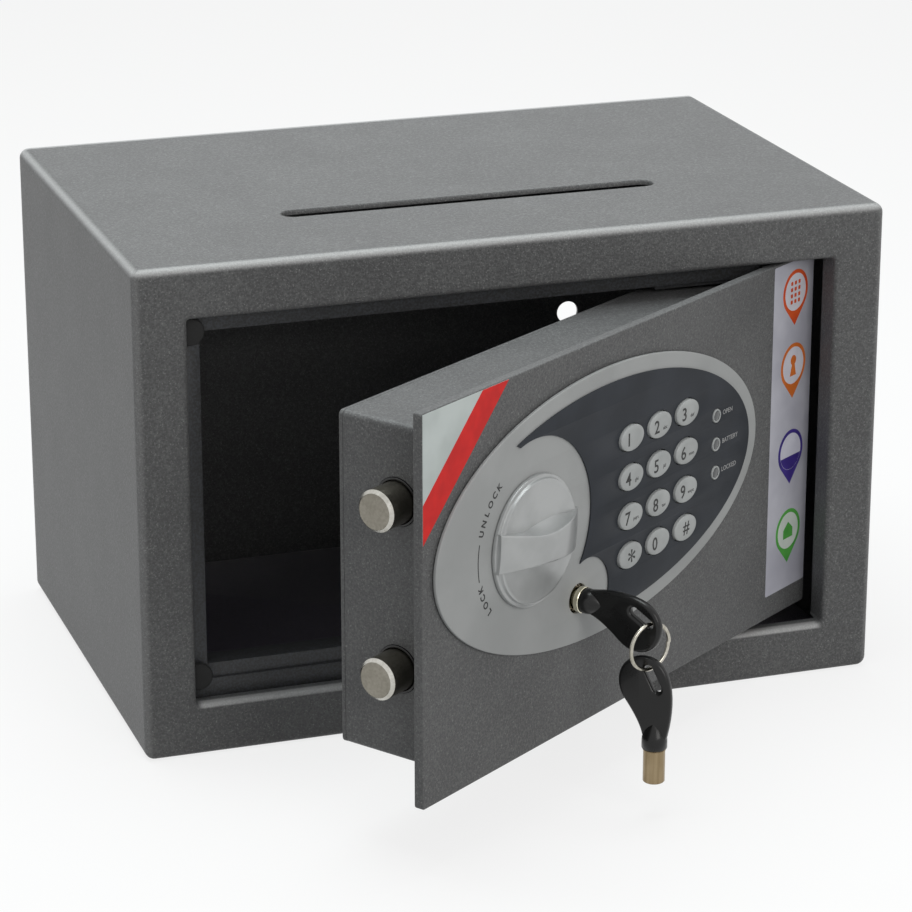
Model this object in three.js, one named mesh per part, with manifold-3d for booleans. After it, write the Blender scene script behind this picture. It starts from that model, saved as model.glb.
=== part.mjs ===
// Counter-top drop safe: a welded steel cabinet with a deposit slot in its roof and a
// swinging door that carries an electronic keypad lock, a turning knob and a key override.
// Millimetres. X runs to the right, Y into the cabinet and Z up. The origin is on the
// floor below the middle of the cabinet. The door is drawn closed and then swung open.
import * as THREE from 'three';
import { mergeVertices } from 'three/addons/utils/BufferGeometryUtils.js';
import Module from 'manifold-3d';

const wasm = await Module();
wasm.setup();

// Clearances that all pieces share: between pieces, past a face that is cut, and between
// faces or points that would otherwise coincide
const seatGap = 0.3;
const overrun = 1;
const hairGap = 0.01;
const samePoint = 0.001;

// Facets on round shapes
const fineFacets = 28;
const plainFacets = 16;
const smallFacets = 12;
const cornerFacets = 2;

// Cabinet of folded sheet steel
const cabinet = {
  width: 310,
  depth: 200,
  height: 200,
  sheet: 2,
  frontFold: 3,
  cornerRadius: 4,
  anchorRadius: 5,
  anchorSpacing: 188,
  anchorHeight: 104,
  baseAnchorSpacing: 188,
};

// Door opening in the front face, with the sheet folded back round it
const opening = {
  sideFrame: 21,
  sillFrame: 21.5,
  headFrame: 21,
  cornerRadius: 1.5,
  fold: 2,
  returnDepth: 7.2,
  hingeReturnDepth: 12,
};

// Flange that stops the closed door on three sides
const stop = { sheet: 1.5, side: 6.5, head: 7, sill: 7.4, cornerRadius: 3 };

// Deposit slot in the roof and the baffle below it
const slot = { length: 158, width: 10, fromFront: 56.5 };
const baffle = { sheet: 1.5, overlap: 8, seatLength: 14, forward: 3, slopeRun: 40, slopeDrop: 38, lip: 8 };

// Rail behind the sill, whose lip carries the lower hinge pin
const rail = { rise: 13.1, sheet: 1.5, lip: 11, endSetback: 5 };

// Hinge: one short pin at each end of the door
const hinge = {
  inset: 30,
  depth: 12.5,
  pinRadius: 3,
  pinHole: 3.3,
  lugRadius: 7.5,
  headRadius: 5,
  headThickness: 2,
  pinOverhang: 3.3,
  runningGap: 1.7,
  bracketLength: 44,
  spacerRadius: 6,
};

// Felt mat on the floor and rubber bumpers on the stop flange
const mat = { thickness: 2, cornerRadius: 1.5 };
const bumper = { radius: 5.5, sillHeight: 9.5, headDrop: 6.3, sideInset: 2.5, flatInset: 0.2 };

// Door: thick plate in front, sheet pan behind
const door = {
  plate: 4,
  recess: 0.5,
  freeGap: 1.7,
  hingeGap: 3,
  sillGap: 4.5,
  headGap: 1.3,
  cornerRadius: 1.2,
  openDegrees: 34.5,
};
const pan = {
  depth: 40,
  sheet: 1.5,
  freeInset: 8.5,
  hingeInset: 11,
  headInset: 9.2,
  sillInset: 13,
  cornerRadius: 2,
};

// Oval fascia, by its margins to the door plate's edges, with its dark keypad film. The
// film's lobes are placed from the knob and the lock that they go round
const fascia = {
  freeMargin: 5.7,
  hingeMargin: 44.4,
  sillMargin: 35,
  headMargin: 11.1,
  thickness: 1.5,
  border: 6.4,
  film: 0.4,
  knobLobeRadius: 36.4,
  knobLobeX: 1,
  knobLobeZ: 2.7,
  lockLobeRadius: 14.4,
  lockLobeX: 4.9,
  lockLobeZ: 0.5,
  tipX: -8,
};

// Twelve oval push keys in three columns and four rows, and three lamps. Places and pitches
// are shares of the fascia's half width and half height, from its middle
const keypad = {
  firstShares: [0.14447, 0.40152],
  pitchShares: [0.17917, 0.30114],
  columnGap: 3.7,
  rowGap: 5.7,
  rise: 1.3,
  crown: 0.5,
  clearance: 0.4,
  travel: 0.8,
  crownShare: 0.86,
};
const lamp = { radius: 2.8, lensRadius: 2.4, firstShares: [0.71107, 0.25947], pitchShare: 0.22443, rise: 0.5 };
const board = { thickness: 1.6, margin: 3.5, standoff: 1.3, chip: 14.8 };

// Turning knob, its spindle and the cam that drives the bolts
const knob = {
  radius: 25.5,
  rimRadius: 24.3,
  rim: 2,
  shoulder: 4,
  shoulderShare: 0.7,
  height: 10.5,
  crownRadius: 21,
  crownShares: [0.5, 0.87],
  placeShares: [-0.45028, -0.02841],
  gripLength: 49,
  gripLeftWidth: 15,
  gripRightWidth: 15,
  gripWaist: 10.5,
  boreDepth: 8,
};
const spindle = { radius: 4, hole: 4.3, bushRadius: 6, bushFlange: 9, bushFlangeThickness: 1.5 };
const cam = { radius: 13, thickness: 3, clearance: 0.7, crankRadius: 8.5, crankDegrees: 45, pinRadius: 2.5 };

// Two round bolts on one carriage. The bolts' heights are shares of the pan's height, and
// the guide is placed from the knob, clear of the cam
const bolt = {
  radius: 8,
  chamfer: 1.2,
  depth: 18.2,
  upperShare: 0.7722,
  lowerShare: 0.27413,
  reach: 13.2,
  length: 33,
  bushWall: 0.8,
  bushFlange: 11,
  bushFlangeThickness: 1.2,
  bushLength: 7,
  travel: 12,
};
const carriage = {
  sheet: 2,
  endMargin: 9,
  armMargin: 3.2,
  topMargin: 3,
  armEnd: 6,
  slotClearance: 0.6,
  slotRoundShare: 0.9,
  guideX: -12,
  guideZ: 14.7,
  guideRadius: 2,
  guideHead: 4,
  guideClearance: 0.3,
};

// Solenoid below the pan's top wall, whose plunger drops behind the carriage arm. The
// plunger reaches into a share of the coil's height
const solenoid = {
  width: 21,
  depth: 17,
  headGap: 6.7,
  plungerRadius: 3,
  plungerShare: 0.54348,
  sideClearance: 0.5,
  lift: 0.8,
  nose: 4.5,
  boreRoom: 2,
};

// Cam lock for the override key
const lock = {
  placeShares: [-0.16323, -0.64962],
  housingRadius: 9,
  flangeRadius: 12,
  flangeThickness: 2,
  length: 28,
  plugRadius: 5.2,
  plugRecess: 1.5,
  plugLength: 30.5,
  tailRadius: 2.4,
  grooveInner: 2.6,
  grooveOuter: 4.5,
  grooveDepth: 9,
  faceHole: 5.8,
  leverLength: 18,
  leverWidth: 8,
  leverThickness: 2,
  leverRoundShare: 0.8,
};

// Tubular key with a moulded bow; the spare hangs from the first one's ring
const key = {
  length: 37,
  neck: 6,
  neckHalf: 5,
  thickness: 3.4,
  tubeRadius: 4.2,
  tubeWall: 1.2,
  tubeInBow: 5,
  insertion: 7,
  bowGap: 0.8,
  tubeShown: 13,
  eyeEndSetback: 5,
  eyeEndDrop: 2.6,
  eyeLength: 7.6,
  eyeSlopeDegrees: 28,
  eyeHalfWidth: 1.8,
  eyeRoundShare: 0.98,
  twistDegrees: 25,
};
const ring = { radius: 9.1, wireRadius: 0.9, turnDegrees: 16 };

// Battery tray with four cells, its cover, and the code reset button
const cellCount = 4;
const battery = {
  radius: 7.1,
  length: 48.5,
  nubRadius: 2.7,
  nubLength: 1.5,
  pitch: 14.8,
  wall: 1.5,
  endRoom: 1,
  fromHinge: 48,
  fromSill: 24,
  floor: 1.6,
};
const reset = { radius: 3, flange: 4.5, flangeThickness: 1.5, rise: 1.5, stem: 6, fromHinge: 18, fromHead: 22 };

// Finishes: colour, roughness and metalness
const finishes = {
  shell: ['#6c6f6f', 0.5, 0.35],
  frame: ['#3a3c3e', 0.55, 0.35],
  zinc: ['#a9abae', 0.35, 0.9],
  steel: ['#c9c8c2', 0.22, 1],
  felt: ['#5b5364', 0.95, 0],
  rubber: ['#141415', 0.8, 0],
  fascia: ['#919393', 0.42, 0.2],
  film: ['#2e3338', 0.4, 0],
  key: ['#b2b5b5', 0.4, 0.1],
  silver: ['#c3c6c6', 0.32, 0.75],
  lens: ['#a8adb0', 0.2, 0],
  board: ['#1f5a3a', 0.6, 0],
  black: ['#161617', 0.3, 0],
  cell: ['#7d6a2f', 0.35, 0.6],
  brass: ['#b39a5c', 0.3, 0.9],
  nickel: ['#c4bfb2', 0.25, 0.95],
  red: ['#a1201c', 0.4, 0],
};

// Places that follow from the sizes above
const frontY = -cabinet.depth / 2;
const backY = cabinet.depth / 2;
const halfWidth = cabinet.width / 2;
const wayIn = {
  left: -halfWidth + opening.sideFrame,
  right: halfWidth - opening.sideFrame,
  low: opening.sillFrame,
  high: cabinet.height - opening.headFrame,
};
const stopFront = frontY + opening.returnDepth + seatGap;
const stopBack = stopFront + stop.sheet;
const axisX = wayIn.right - hinge.inset;
const axisY = frontY + hinge.depth;
const plate = {
  left: wayIn.left + door.freeGap,
  right: wayIn.right - door.hingeGap,
  low: wayIn.low + door.sillGap,
  high: wayIn.high - door.headGap,
  front: frontY + door.recess,
  back: frontY + door.recess + door.plate,
};
const box = {
  left: plate.left + pan.freeInset,
  right: plate.right - pan.hingeInset,
  low: plate.low + pan.sillInset,
  high: plate.high - pan.headInset,
  front: plate.back + seatGap,
  back: plate.back + pan.depth,
};
box.seam = box.back - pan.sheet;
const railTop = wayIn.low + rail.rise;
const railFront = stopBack + seatGap;
const fasciaHalfWidth = (plate.right - plate.left - fascia.freeMargin - fascia.hingeMargin) / 2;
const fasciaHalfHeight = (plate.high - plate.low - fascia.sillMargin - fascia.headMargin) / 2;
const fasciaX = plate.left + fascia.freeMargin + fasciaHalfWidth;
const fasciaZ = plate.low + fascia.sillMargin + fasciaHalfHeight;
const onFascia = ([acrossShare, upShare]) => [
  fasciaX + acrossShare * fasciaHalfWidth,
  fasciaZ + upShare * fasciaHalfHeight,
];
const fasciaBack = plate.front - seatGap;
const fasciaFront = fasciaBack - fascia.thickness;
const filmBack = fasciaFront - seatGap;
const filmFront = filmBack - fascia.film;
const [knobX, knobZ] = onFascia(knob.placeShares);
const [lockX, lockZ] = onFascia(lock.placeShares);
const columnPitch = keypad.pitchShares[0] * fasciaHalfWidth;
const rowPitch = keypad.pitchShares[1] * fasciaHalfHeight;
const keyHalfWidth = (columnPitch - keypad.columnGap) / 2;
const keyHalfHeight = (rowPitch - keypad.rowGap) / 2;
const boardFront = plate.back + board.standoff;
const boltY = frontY + bolt.depth;
const upperBoltZ = box.low + bolt.upperShare * (box.high - box.low);
const lowerBoltZ = box.low + bolt.lowerShare * (box.high - box.low);

// Geometry made ready for cutting: positions only, shared corners merged, faces outwards
function tidy(source) {
  const bare = source.index ? source.toNonIndexed() : source;
  const positions = new THREE.BufferGeometry();
  positions.setAttribute('position', bare.getAttribute('position'));
  const merged = mergeVertices(positions);
  const corners = merged.index.array;
  const place = merged.getAttribute('position');
  const kept = [];
  const [a, b, c] = [new THREE.Vector3(), new THREE.Vector3(), new THREE.Vector3()];
  let volume = 0;
  for (let i = 0; i < corners.length; i += 3) {
    const [p, q, r] = [corners[i], corners[i + 1], corners[i + 2]];
    if (p === q || q === r || r === p) continue;
    kept.push(p, q, r);
    a.fromBufferAttribute(place, p);
    b.fromBufferAttribute(place, q);
    c.fromBufferAttribute(place, r);
    volume += a.dot(b.cross(c));
  }
  merged.setIndex(volume < 0 ? kept.reverse() : kept);
  return merged;
}

function solid(source) {
  const geometry = tidy(source);
  return new wasm.Manifold(new wasm.Mesh({
    numProp: 3,
    vertProperties: new Float32Array(geometry.getAttribute('position').array),
    triVerts: new Uint32Array(geometry.index.array),
  }));
}

function geometryOf(body) {
  const mesh = body.getMesh();
  const geometry = new THREE.BufferGeometry();
  geometry.setAttribute('position', new THREE.BufferAttribute(new Float32Array(mesh.vertProperties), 3));
  geometry.setIndex(new THREE.BufferAttribute(new Uint32Array(mesh.triVerts), 1));
  return geometry;
}

// Outlines
function rectangle(left, right, low, high, radius) {
  const outline = new THREE.Shape();
  outline.moveTo(left + radius, low);
  outline.lineTo(right - radius, low);
  outline.absarc(right - radius, low + radius, radius, -Math.PI / 2, 0);
  outline.lineTo(right, high - radius);
  outline.absarc(right - radius, high - radius, radius, 0, Math.PI / 2);
  outline.lineTo(left + radius, high);
  outline.absarc(left + radius, high - radius, radius, Math.PI / 2, Math.PI);
  outline.lineTo(left, low + radius);
  outline.absarc(left + radius, low + radius, radius, Math.PI, Math.PI * 1.5);
  return outline;
}

function oval(x, z, halfX, halfZ) {
  const outline = new THREE.Shape();
  outline.absellipse(x, z, halfX, halfZ, 0, Math.PI * 2);
  return outline;
}

function polygon(points) {
  return new THREE.Shape(points.map(([u, v]) => new THREE.Vector2(u, v)));
}

// Slabs: an outline in X and Z carried along Y, in X and Y along Z, and in Y and Z along X
function slabY(outline, front, back, facets = cornerFacets) {
  const slab = new THREE.ExtrudeGeometry(outline, {
    depth: back - front,
    bevelEnabled: false,
    curveSegments: facets,
  });
  return solid(slab.rotateX(Math.PI / 2).translate(0, back, 0));
}

function slabZ(outline, low, high, facets = cornerFacets) {
  const slab = new THREE.ExtrudeGeometry(outline, {
    depth: high - low,
    bevelEnabled: false,
    curveSegments: facets,
  });
  return solid(slab.translate(0, 0, low));
}

function slabX(outline, left, right) {
  const slab = new THREE.ExtrudeGeometry(outline, { depth: right - left, bevelEnabled: false });
  const turned = new THREE.Matrix4().makeBasis(
    new THREE.Vector3(0, 1, 0),
    new THREE.Vector3(0, 0, 1),
    new THREE.Vector3(1, 0, 0),
  );
  return solid(slab.applyMatrix4(turned).translate(left, 0, 0));
}

function block(left, right, front, back, low, high) {
  const brick = new THREE.BoxGeometry(right - left, back - front, high - low);
  return solid(brick.translate((left + right) / 2, (front + back) / 2, (low + high) / 2));
}

// Round bars along each axis
function rodY(x, z, radius, front, back, facets = plainFacets) {
  const rod = new THREE.CylinderGeometry(radius, radius, back - front, facets);
  return solid(rod.translate(x, (front + back) / 2, z));
}

function rodX(y, z, radius, left, right, facets = plainFacets) {
  const rod = new THREE.CylinderGeometry(radius, radius, right - left, facets);
  return solid(rod.rotateZ(Math.PI / 2).translate((left + right) / 2, y, z));
}

function rodZ(x, y, radius, low, high, facets = plainFacets) {
  const rod = new THREE.CylinderGeometry(radius, radius, high - low, facets);
  return solid(rod.rotateX(Math.PI / 2).translate(x, y, (low + high) / 2));
}

// Turned piece about a line along Y: radius and distance along Y of each profile point
function turnedY(x, z, profile, facets = plainFacets) {
  const points = profile.map(([radius, y]) => new THREE.Vector2(radius, y));
  return solid(new THREE.LatheGeometry(points, facets).translate(x, 0, z));
}

// Corner points of a closed outline, without the repeated last one
function cornersOf(outline, facets) {
  const points = outline.getPoints(facets);
  const closes = points[0].distanceTo(points[points.length - 1]) < samePoint;
  return closes ? points.slice(0, -1) : points;
}

// Skin through outlines of equal point counts, one at each Y
function loft(levels, facets) {
  const rings = levels.map(({ outline, y }) => cornersOf(outline, facets)
    .map((point) => [point.x, y, point.y]));
  const count = rings[0].length;
  const positions = [];
  for (let level = 1; level < rings.length; level += 1) {
    for (let i = 0; i < count; i += 1) {
      const next = (i + 1) % count;
      const [a, b] = [rings[level - 1][i], rings[level - 1][next]];
      const [c, d] = [rings[level][i], rings[level][next]];
      positions.push(...a, ...b, ...d, ...a, ...d, ...c);
    }
  }
  const [first, last] = [rings[0], rings[rings.length - 1]];
  for (let i = 1; i < count - 1; i += 1) {
    positions.push(...first[0], ...first[i + 1], ...first[i]);
    positions.push(...last[0], ...last[i], ...last[i + 1]);
  }
  const skin = new THREE.BufferGeometry();
  skin.setAttribute('position', new THREE.BufferAttribute(new Float32Array(positions), 3));
  return solid(skin);
}

function piece(name, body, finish) {
  const [color, roughness, metalness] = finishes[finish];
  const material = new THREE.MeshStandardMaterial({ color, roughness, metalness });
  const mesh = new THREE.Mesh(geometryOf(body), material);
  mesh.name = name;
  return mesh;
}

// Outer box, rounded along the folds round its front face
function cabinetBlock(shrink, front, back, fold, radius) {
  const at = (inset, y) => ({
    outline: rectangle(
      -halfWidth + shrink + inset,
      halfWidth - shrink - inset,
      shrink + inset,
      cabinet.height - shrink - inset,
      radius - inset,
    ),
    y,
  });
  const levels = [];
  for (let step = 0; step <= cornerFacets; step += 1) {
    const angle = (step / cornerFacets) * (Math.PI / 2);
    levels.push(at(fold * (1 - Math.sin(angle)), front + fold * (1 - Math.cos(angle))));
  }
  levels.push(at(0, back));
  return levels;
}

function makeShell() {
  const outer = loft(
    cabinetBlock(0, frontY, backY, cabinet.frontFold, cabinet.cornerRadius),
    cornerFacets,
  );
  const room = loft(cabinetBlock(
    cabinet.sheet,
    frontY + cabinet.sheet,
    backY + overrun,
    cabinet.frontFold - cabinet.sheet,
    cabinet.cornerRadius - cabinet.sheet,
  ), cornerFacets);
  const wall = cabinet.sheet;
  const collar = slabY(
    rectangle(wayIn.left - wall, wayIn.right + wall, wayIn.low - wall, wayIn.high + wall, opening.cornerRadius + wall),
    frontY + cabinet.sheet / 2,
    frontY + opening.returnDepth,
  );
  const hingeCollar = block(
    wayIn.right,
    wayIn.right + wall,
    frontY + cabinet.sheet,
    frontY + opening.hingeReturnDepth,
    wayIn.low,
    wayIn.high,
  );
  const wayThrough = [];
  for (let step = 0; step <= cornerFacets; step += 1) {
    const angle = (step / cornerFacets) * (Math.PI / 2);
    const flare = opening.fold * (1 - Math.sin(angle));
    wayThrough.push({
      outline: rectangle(
        wayIn.left - flare,
        wayIn.right + flare,
        wayIn.low - flare,
        wayIn.high + flare,
        opening.cornerRadius + flare,
      ),
      y: frontY + opening.fold * (1 - Math.cos(angle)) - (step === 0 ? hairGap : 0),
    });
  }
  wayThrough.push({ ...wayThrough[cornerFacets], y: frontY + opening.hingeReturnDepth + overrun });
  const slotMiddle = frontY + slot.fromFront + slot.width / 2;
  const slotCut = slabZ(
    rectangle(
      -slot.length / 2,
      slot.length / 2,
      slotMiddle - slot.width / 2,
      slotMiddle + slot.width / 2,
      slot.width / 2,
    ),
    cabinet.height - cabinet.sheet - overrun,
    cabinet.height + overrun,
    smallFacets / 2,
  );
  let shell = outer.subtract(room).add(collar).add(hingeCollar)
    .subtract(loft(wayThrough, cornerFacets))
    .subtract(slotCut);
  for (const side of [-1, 1]) {
    shell = shell.subtract(rodZ(
      side * cabinet.baseAnchorSpacing / 2,
      0,
      cabinet.anchorRadius,
      -overrun,
      cabinet.sheet + overrun,
    ));
  }
  return piece('cabinet_shell', shell, 'shell');
}

function makeBackPanel() {
  const inset = cabinet.sheet + seatGap;
  let panel = slabY(
    rectangle(
      -halfWidth + inset,
      halfWidth - inset,
      inset,
      cabinet.height - inset,
      cabinet.cornerRadius - inset,
    ),
    backY - cabinet.sheet,
    backY,
  );
  for (const side of [-1, 1]) {
    panel = panel.subtract(rodY(
      side * cabinet.anchorSpacing / 2,
      cabinet.anchorHeight,
      cabinet.anchorRadius,
      backY - cabinet.sheet - overrun,
      backY + overrun,
    ));
  }
  return piece('back_panel', panel, 'shell');
}

function makeStopFlange() {
  const outline = rectangle(
    wayIn.left - cabinet.sheet,
    axisX,
    wayIn.low - cabinet.sheet,
    wayIn.high + cabinet.sheet,
    stop.cornerRadius,
  );
  const clear = rectangle(
    wayIn.left + stop.side,
    axisX + stop.cornerRadius + overrun,
    wayIn.low + stop.sill,
    wayIn.high - stop.head,
    stop.cornerRadius,
  );
  const flange = slabY(outline, stopFront, stopBack)
    .subtract(slabY(clear, stopFront - overrun, stopBack + overrun));
  return piece('stop_flange', flange, 'frame');
}

// Round bumper with one side cut off where it meets the folded edge of the opening
function makeBumper(name, z) {
  const x = wayIn.left + bumper.sideInset;
  const disc = rodY(x, z, bumper.radius, plate.back + seatGap, stopFront - seatGap)
    .subtract(block(
      x - bumper.radius - overrun,
      wayIn.left + bumper.flatInset,
      plate.back - overrun,
      stopFront + overrun,
      z - bumper.radius - overrun,
      z + bumper.radius + overrun,
    ));
  return piece(name, disc, 'rubber');
}

// Angle with an upright web, and a lip that ends in a round lug for the hinge pin
function hingeAngle(left, right, lugLow, lugHigh, webLow, webHigh) {
  const web = block(left, right, railFront, railFront + rail.sheet, webLow, webHigh);
  const lip = block(left, axisX - hinge.lugRadius / 2, railFront, railFront + rail.lip, lugLow, lugHigh);
  const lug = rodZ(axisX, axisY, hinge.lugRadius, lugLow, lugHigh);
  const hole = rodZ(axisX, axisY, hinge.pinHole, lugLow - overrun, lugHigh + overrun);
  return web.add(lip).add(lug).subtract(hole);
}

function makeSillRail() {
  const rails = hingeAngle(
    -halfWidth + cabinet.sheet + seatGap,
    axisX - rail.endSetback,
    railTop - rail.sheet,
    railTop,
    cabinet.cornerRadius,
    railTop,
  );
  return piece('sill_rail', rails, 'frame');
}

function makeHingeBracket() {
  const lugLow = box.high + hinge.runningGap;
  const bracket = hingeAngle(
    axisX - hinge.bracketLength,
    axisX - rail.endSetback,
    lugLow,
    lugLow + rail.sheet,
    lugLow,
    cabinet.height - cabinet.sheet - seatGap,
  );
  return piece('hinge_bracket', bracket, 'frame');
}

// Bent sheet below the slot: notes slide down it to the back, and nothing can be fished up
function makeBaffle() {
  const top = cabinet.height - cabinet.sheet - seatGap;
  const bend = frontY + slot.fromFront - baffle.forward;
  const foot = top - baffle.slopeDrop;
  const profile = polygon([
    [bend - baffle.seatLength, top],
    [bend - baffle.seatLength, top - baffle.sheet],
    [bend - baffle.sheet, top - baffle.sheet],
    [bend + baffle.slopeRun - baffle.sheet, foot],
    [bend + baffle.slopeRun - baffle.sheet, foot - baffle.lip],
    [bend + baffle.slopeRun, foot - baffle.lip],
    [bend + baffle.slopeRun, foot + baffle.sheet],
    [bend, top],
  ]);
  const reach = slot.length / 2 + baffle.overlap;
  return piece('anti_fish_baffle', slabX(profile, -reach, reach), 'frame');
}

function makeFloorMat() {
  const edge = cabinet.cornerRadius;
  const sheet = slabZ(
    rectangle(
      -halfWidth + edge,
      halfWidth - edge,
      railFront + rail.sheet + seatGap,
      backY - edge,
      mat.cornerRadius,
    ),
    cabinet.sheet + seatGap,
    cabinet.sheet + seatGap + mat.thickness,
  );
  return piece('floor_mat', sheet, 'felt');
}

// Middle of key number index, counted along the rows from the top left
function keyPlace(index) {
  const [x, z] = onFascia(keypad.firstShares);
  return [x + (index % columnCount) * columnPitch, z - Math.floor(index / columnCount) * rowPitch];
}

function lampPlace(index) {
  const [x, z] = onFascia(lamp.firstShares);
  return [x, z - index * lamp.pitchShare * fasciaHalfHeight];
}

const columnCount = 3;
const keyCount = 12;
const lampCount = 3;
const keyIndexes = [...Array(keyCount).keys()];
const lampIndexes = [...Array(lampCount).keys()];

// Window behind the keypad, and the board that fills it from behind
function windowSides(margin) {
  const [left, high] = keyPlace(0);
  const [, low] = keyPlace(keyCount - 1);
  const [right] = lampPlace(0);
  return [
    left - keyHalfWidth - margin,
    right + lamp.radius + margin,
    low - keyHalfHeight - margin,
    high + keyHalfHeight + margin,
  ];
}

function makeDoorPlate() {
  let body = slabY(
    rectangle(plate.left, plate.right, plate.low, plate.high, door.cornerRadius),
    plate.front,
    plate.back,
  );
  const [from, to] = [plate.front - overrun, plate.back + overrun];
  body = body.subtract(rodY(knobX, knobZ, spindle.bushRadius + seatGap, from, to));
  body = body.subtract(rodY(lockX, lockZ, lock.housingRadius + seatGap, from, to));
  body = body.subtract(slabY(rectangle(...windowSides(board.margin), board.margin), from, to));
  return piece('door_plate', body, 'shell');
}

function makeDoorPan() {
  const wall = pan.sheet;
  let body = slabY(rectangle(box.left, box.right, box.low, box.high, pan.cornerRadius), box.front, box.seam - seatGap)
    .subtract(slabY(
      rectangle(box.left + wall, box.right - wall, box.low + wall, box.high - wall, pan.cornerRadius - wall / 2),
      box.front - overrun,
      box.seam + overrun,
    ));
  const hole = bolt.radius + seatGap + bolt.bushWall + seatGap;
  for (const z of [upperBoltZ, lowerBoltZ]) {
    body = body.subtract(rodX(boltY, z, hole, box.left - overrun, box.left + wall + overrun));
  }
  for (const z of [box.low + wall / 2, box.high - wall / 2]) {
    body = body.subtract(rodZ(axisX, axisY, hinge.pinHole, z - wall, z + wall));
  }
  return piece('door_pan', body, 'shell');
}

// Battery bay in the door's back: left, right, low and high sides of the cell room
const bay = {
  right: box.right - battery.fromHinge,
  low: box.low + battery.fromSill,
};
bay.left = bay.right - battery.length - battery.nubLength - battery.endRoom * 2;
bay.high = bay.low + battery.pitch * cellCount;
const resetX = box.right - reset.fromHinge;
const resetZ = box.high - reset.fromHead;

function makeBackCover() {
  const [from, to] = [box.seam, box.back];
  const body = slabY(rectangle(box.left, box.right, box.low, box.high, pan.cornerRadius), from, to)
    .subtract(slabY(rectangle(bay.left, bay.right, bay.low, bay.high, battery.wall), from - overrun, to + overrun))
    .subtract(rodY(resetX, resetZ, reset.radius + seatGap, from - overrun, to + overrun));
  return piece('door_back_cover', body, 'shell');
}

function makeBatteryCover() {
  const gap = seatGap;
  const lid = slabY(
    rectangle(bay.left + gap, bay.right - gap, bay.low + gap, bay.high - gap, battery.wall - gap),
    box.seam,
    box.back,
  );
  const lip = block(
    bay.right - battery.pitch,
    bay.right - gap - battery.wall,
    box.back - overrun,
    box.back + battery.wall,
    (bay.low + bay.high - battery.pitch) / 2,
    (bay.low + bay.high + battery.pitch) / 2,
  );
  return piece('battery_cover', lid.add(lip), 'black');
}

const cellY = box.seam - seatGap - battery.wall - battery.radius;

function makeBatteryTray() {
  const wall = battery.wall;
  const floor = cellY - battery.radius - seatGap;
  const tray = block(
    bay.left - wall,
    bay.right + wall,
    floor - battery.floor,
    box.seam - seatGap,
    bay.low - wall,
    bay.high + wall,
  ).subtract(block(bay.left, bay.right, floor, box.seam + overrun, bay.low, bay.high));
  return piece('battery_tray', tray, 'black');
}

// Cells lie side by side, turned end for end in turn; the nub starts inside the can
function makeCell(index) {
  const z = bay.low + (index + 1 / 2) * battery.pitch;
  const turned = index % 2 === 1;
  const start = bay.left + battery.endRoom;
  const can = turned ? start + battery.nubLength : start;
  const nub = turned ? start : can + battery.length - battery.nubLength;
  const body = rodX(cellY, z, battery.radius, can, can + battery.length, smallFacets)
    .add(rodX(cellY, z, battery.nubRadius, nub, nub + battery.nubLength * 2, smallFacets));
  return piece(`battery_${index + 1}`, body, 'cell');
}

function makeResetButton() {
  const inner = box.seam - seatGap;
  const body = turnedY(resetX, resetZ, [
    [0, inner - reset.flangeThickness - reset.stem],
    [reset.radius, inner - reset.flangeThickness - reset.stem],
    [reset.radius, inner - reset.flangeThickness],
    [reset.flange, inner - reset.flangeThickness],
    [reset.flange, inner],
    [reset.radius, inner],
    [reset.radius, box.back + reset.rise],
    [0, box.back + reset.rise],
  ], smallFacets);
  return piece('reset_button', body, 'red');
}

function makeHingePin(name, wallInner, tip) {
  const up = Math.sign(tip - wallInner);
  const seat = wallInner - up * seatGap;
  const foot = seat - up * hinge.headThickness;
  const rod = (radius, from, to) => rodZ(axisX, axisY, radius, Math.min(from, to), Math.max(from, to));
  return piece(name, rod(hinge.headRadius, foot, seat).add(rod(hinge.pinRadius, foot, tip)), 'zinc');
}

function makeHingeSpacer() {
  const low = railTop + seatGap;
  const high = box.low - seatGap;
  const body = rodZ(axisX, axisY, hinge.spacerRadius, low, high)
    .subtract(rodZ(axisX, axisY, hinge.pinHole, low - overrun, high + overrun));
  return piece('hinge_spacer', body, 'zinc');
}

// Holes that the fascia and its film share: keys and lamps
function keypadHoles(front, back) {
  const holes = keyIndexes.map((index) => {
    const [x, z] = keyPlace(index);
    const room = keypad.clearance;
    return slabY(
      oval(x, z, keyHalfWidth + room, keyHalfHeight + room),
      front,
      back,
      plainFacets / 2,
    );
  });
  for (const index of lampIndexes) {
    const [x, z] = lampPlace(index);
    holes.push(rodY(x, z, lamp.radius + seatGap, front, back, smallFacets));
  }
  return wasm.Manifold.union(holes);
}

function makeFascia() {
  const [from, to] = [fasciaFront - overrun, fasciaBack + overrun];
  const body = slabY(
    oval(fasciaX, fasciaZ, fasciaHalfWidth, fasciaHalfHeight),
    fasciaFront,
    fasciaBack,
    fineFacets,
  )
    .subtract(rodY(knobX, knobZ, spindle.radius + seatGap, from, to))
    .subtract(rodY(lockX, lockZ, lock.faceHole, from, to))
    .subtract(keypadHoles(from, to));
  return piece('fascia_panel', body, 'fascia');
}

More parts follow.
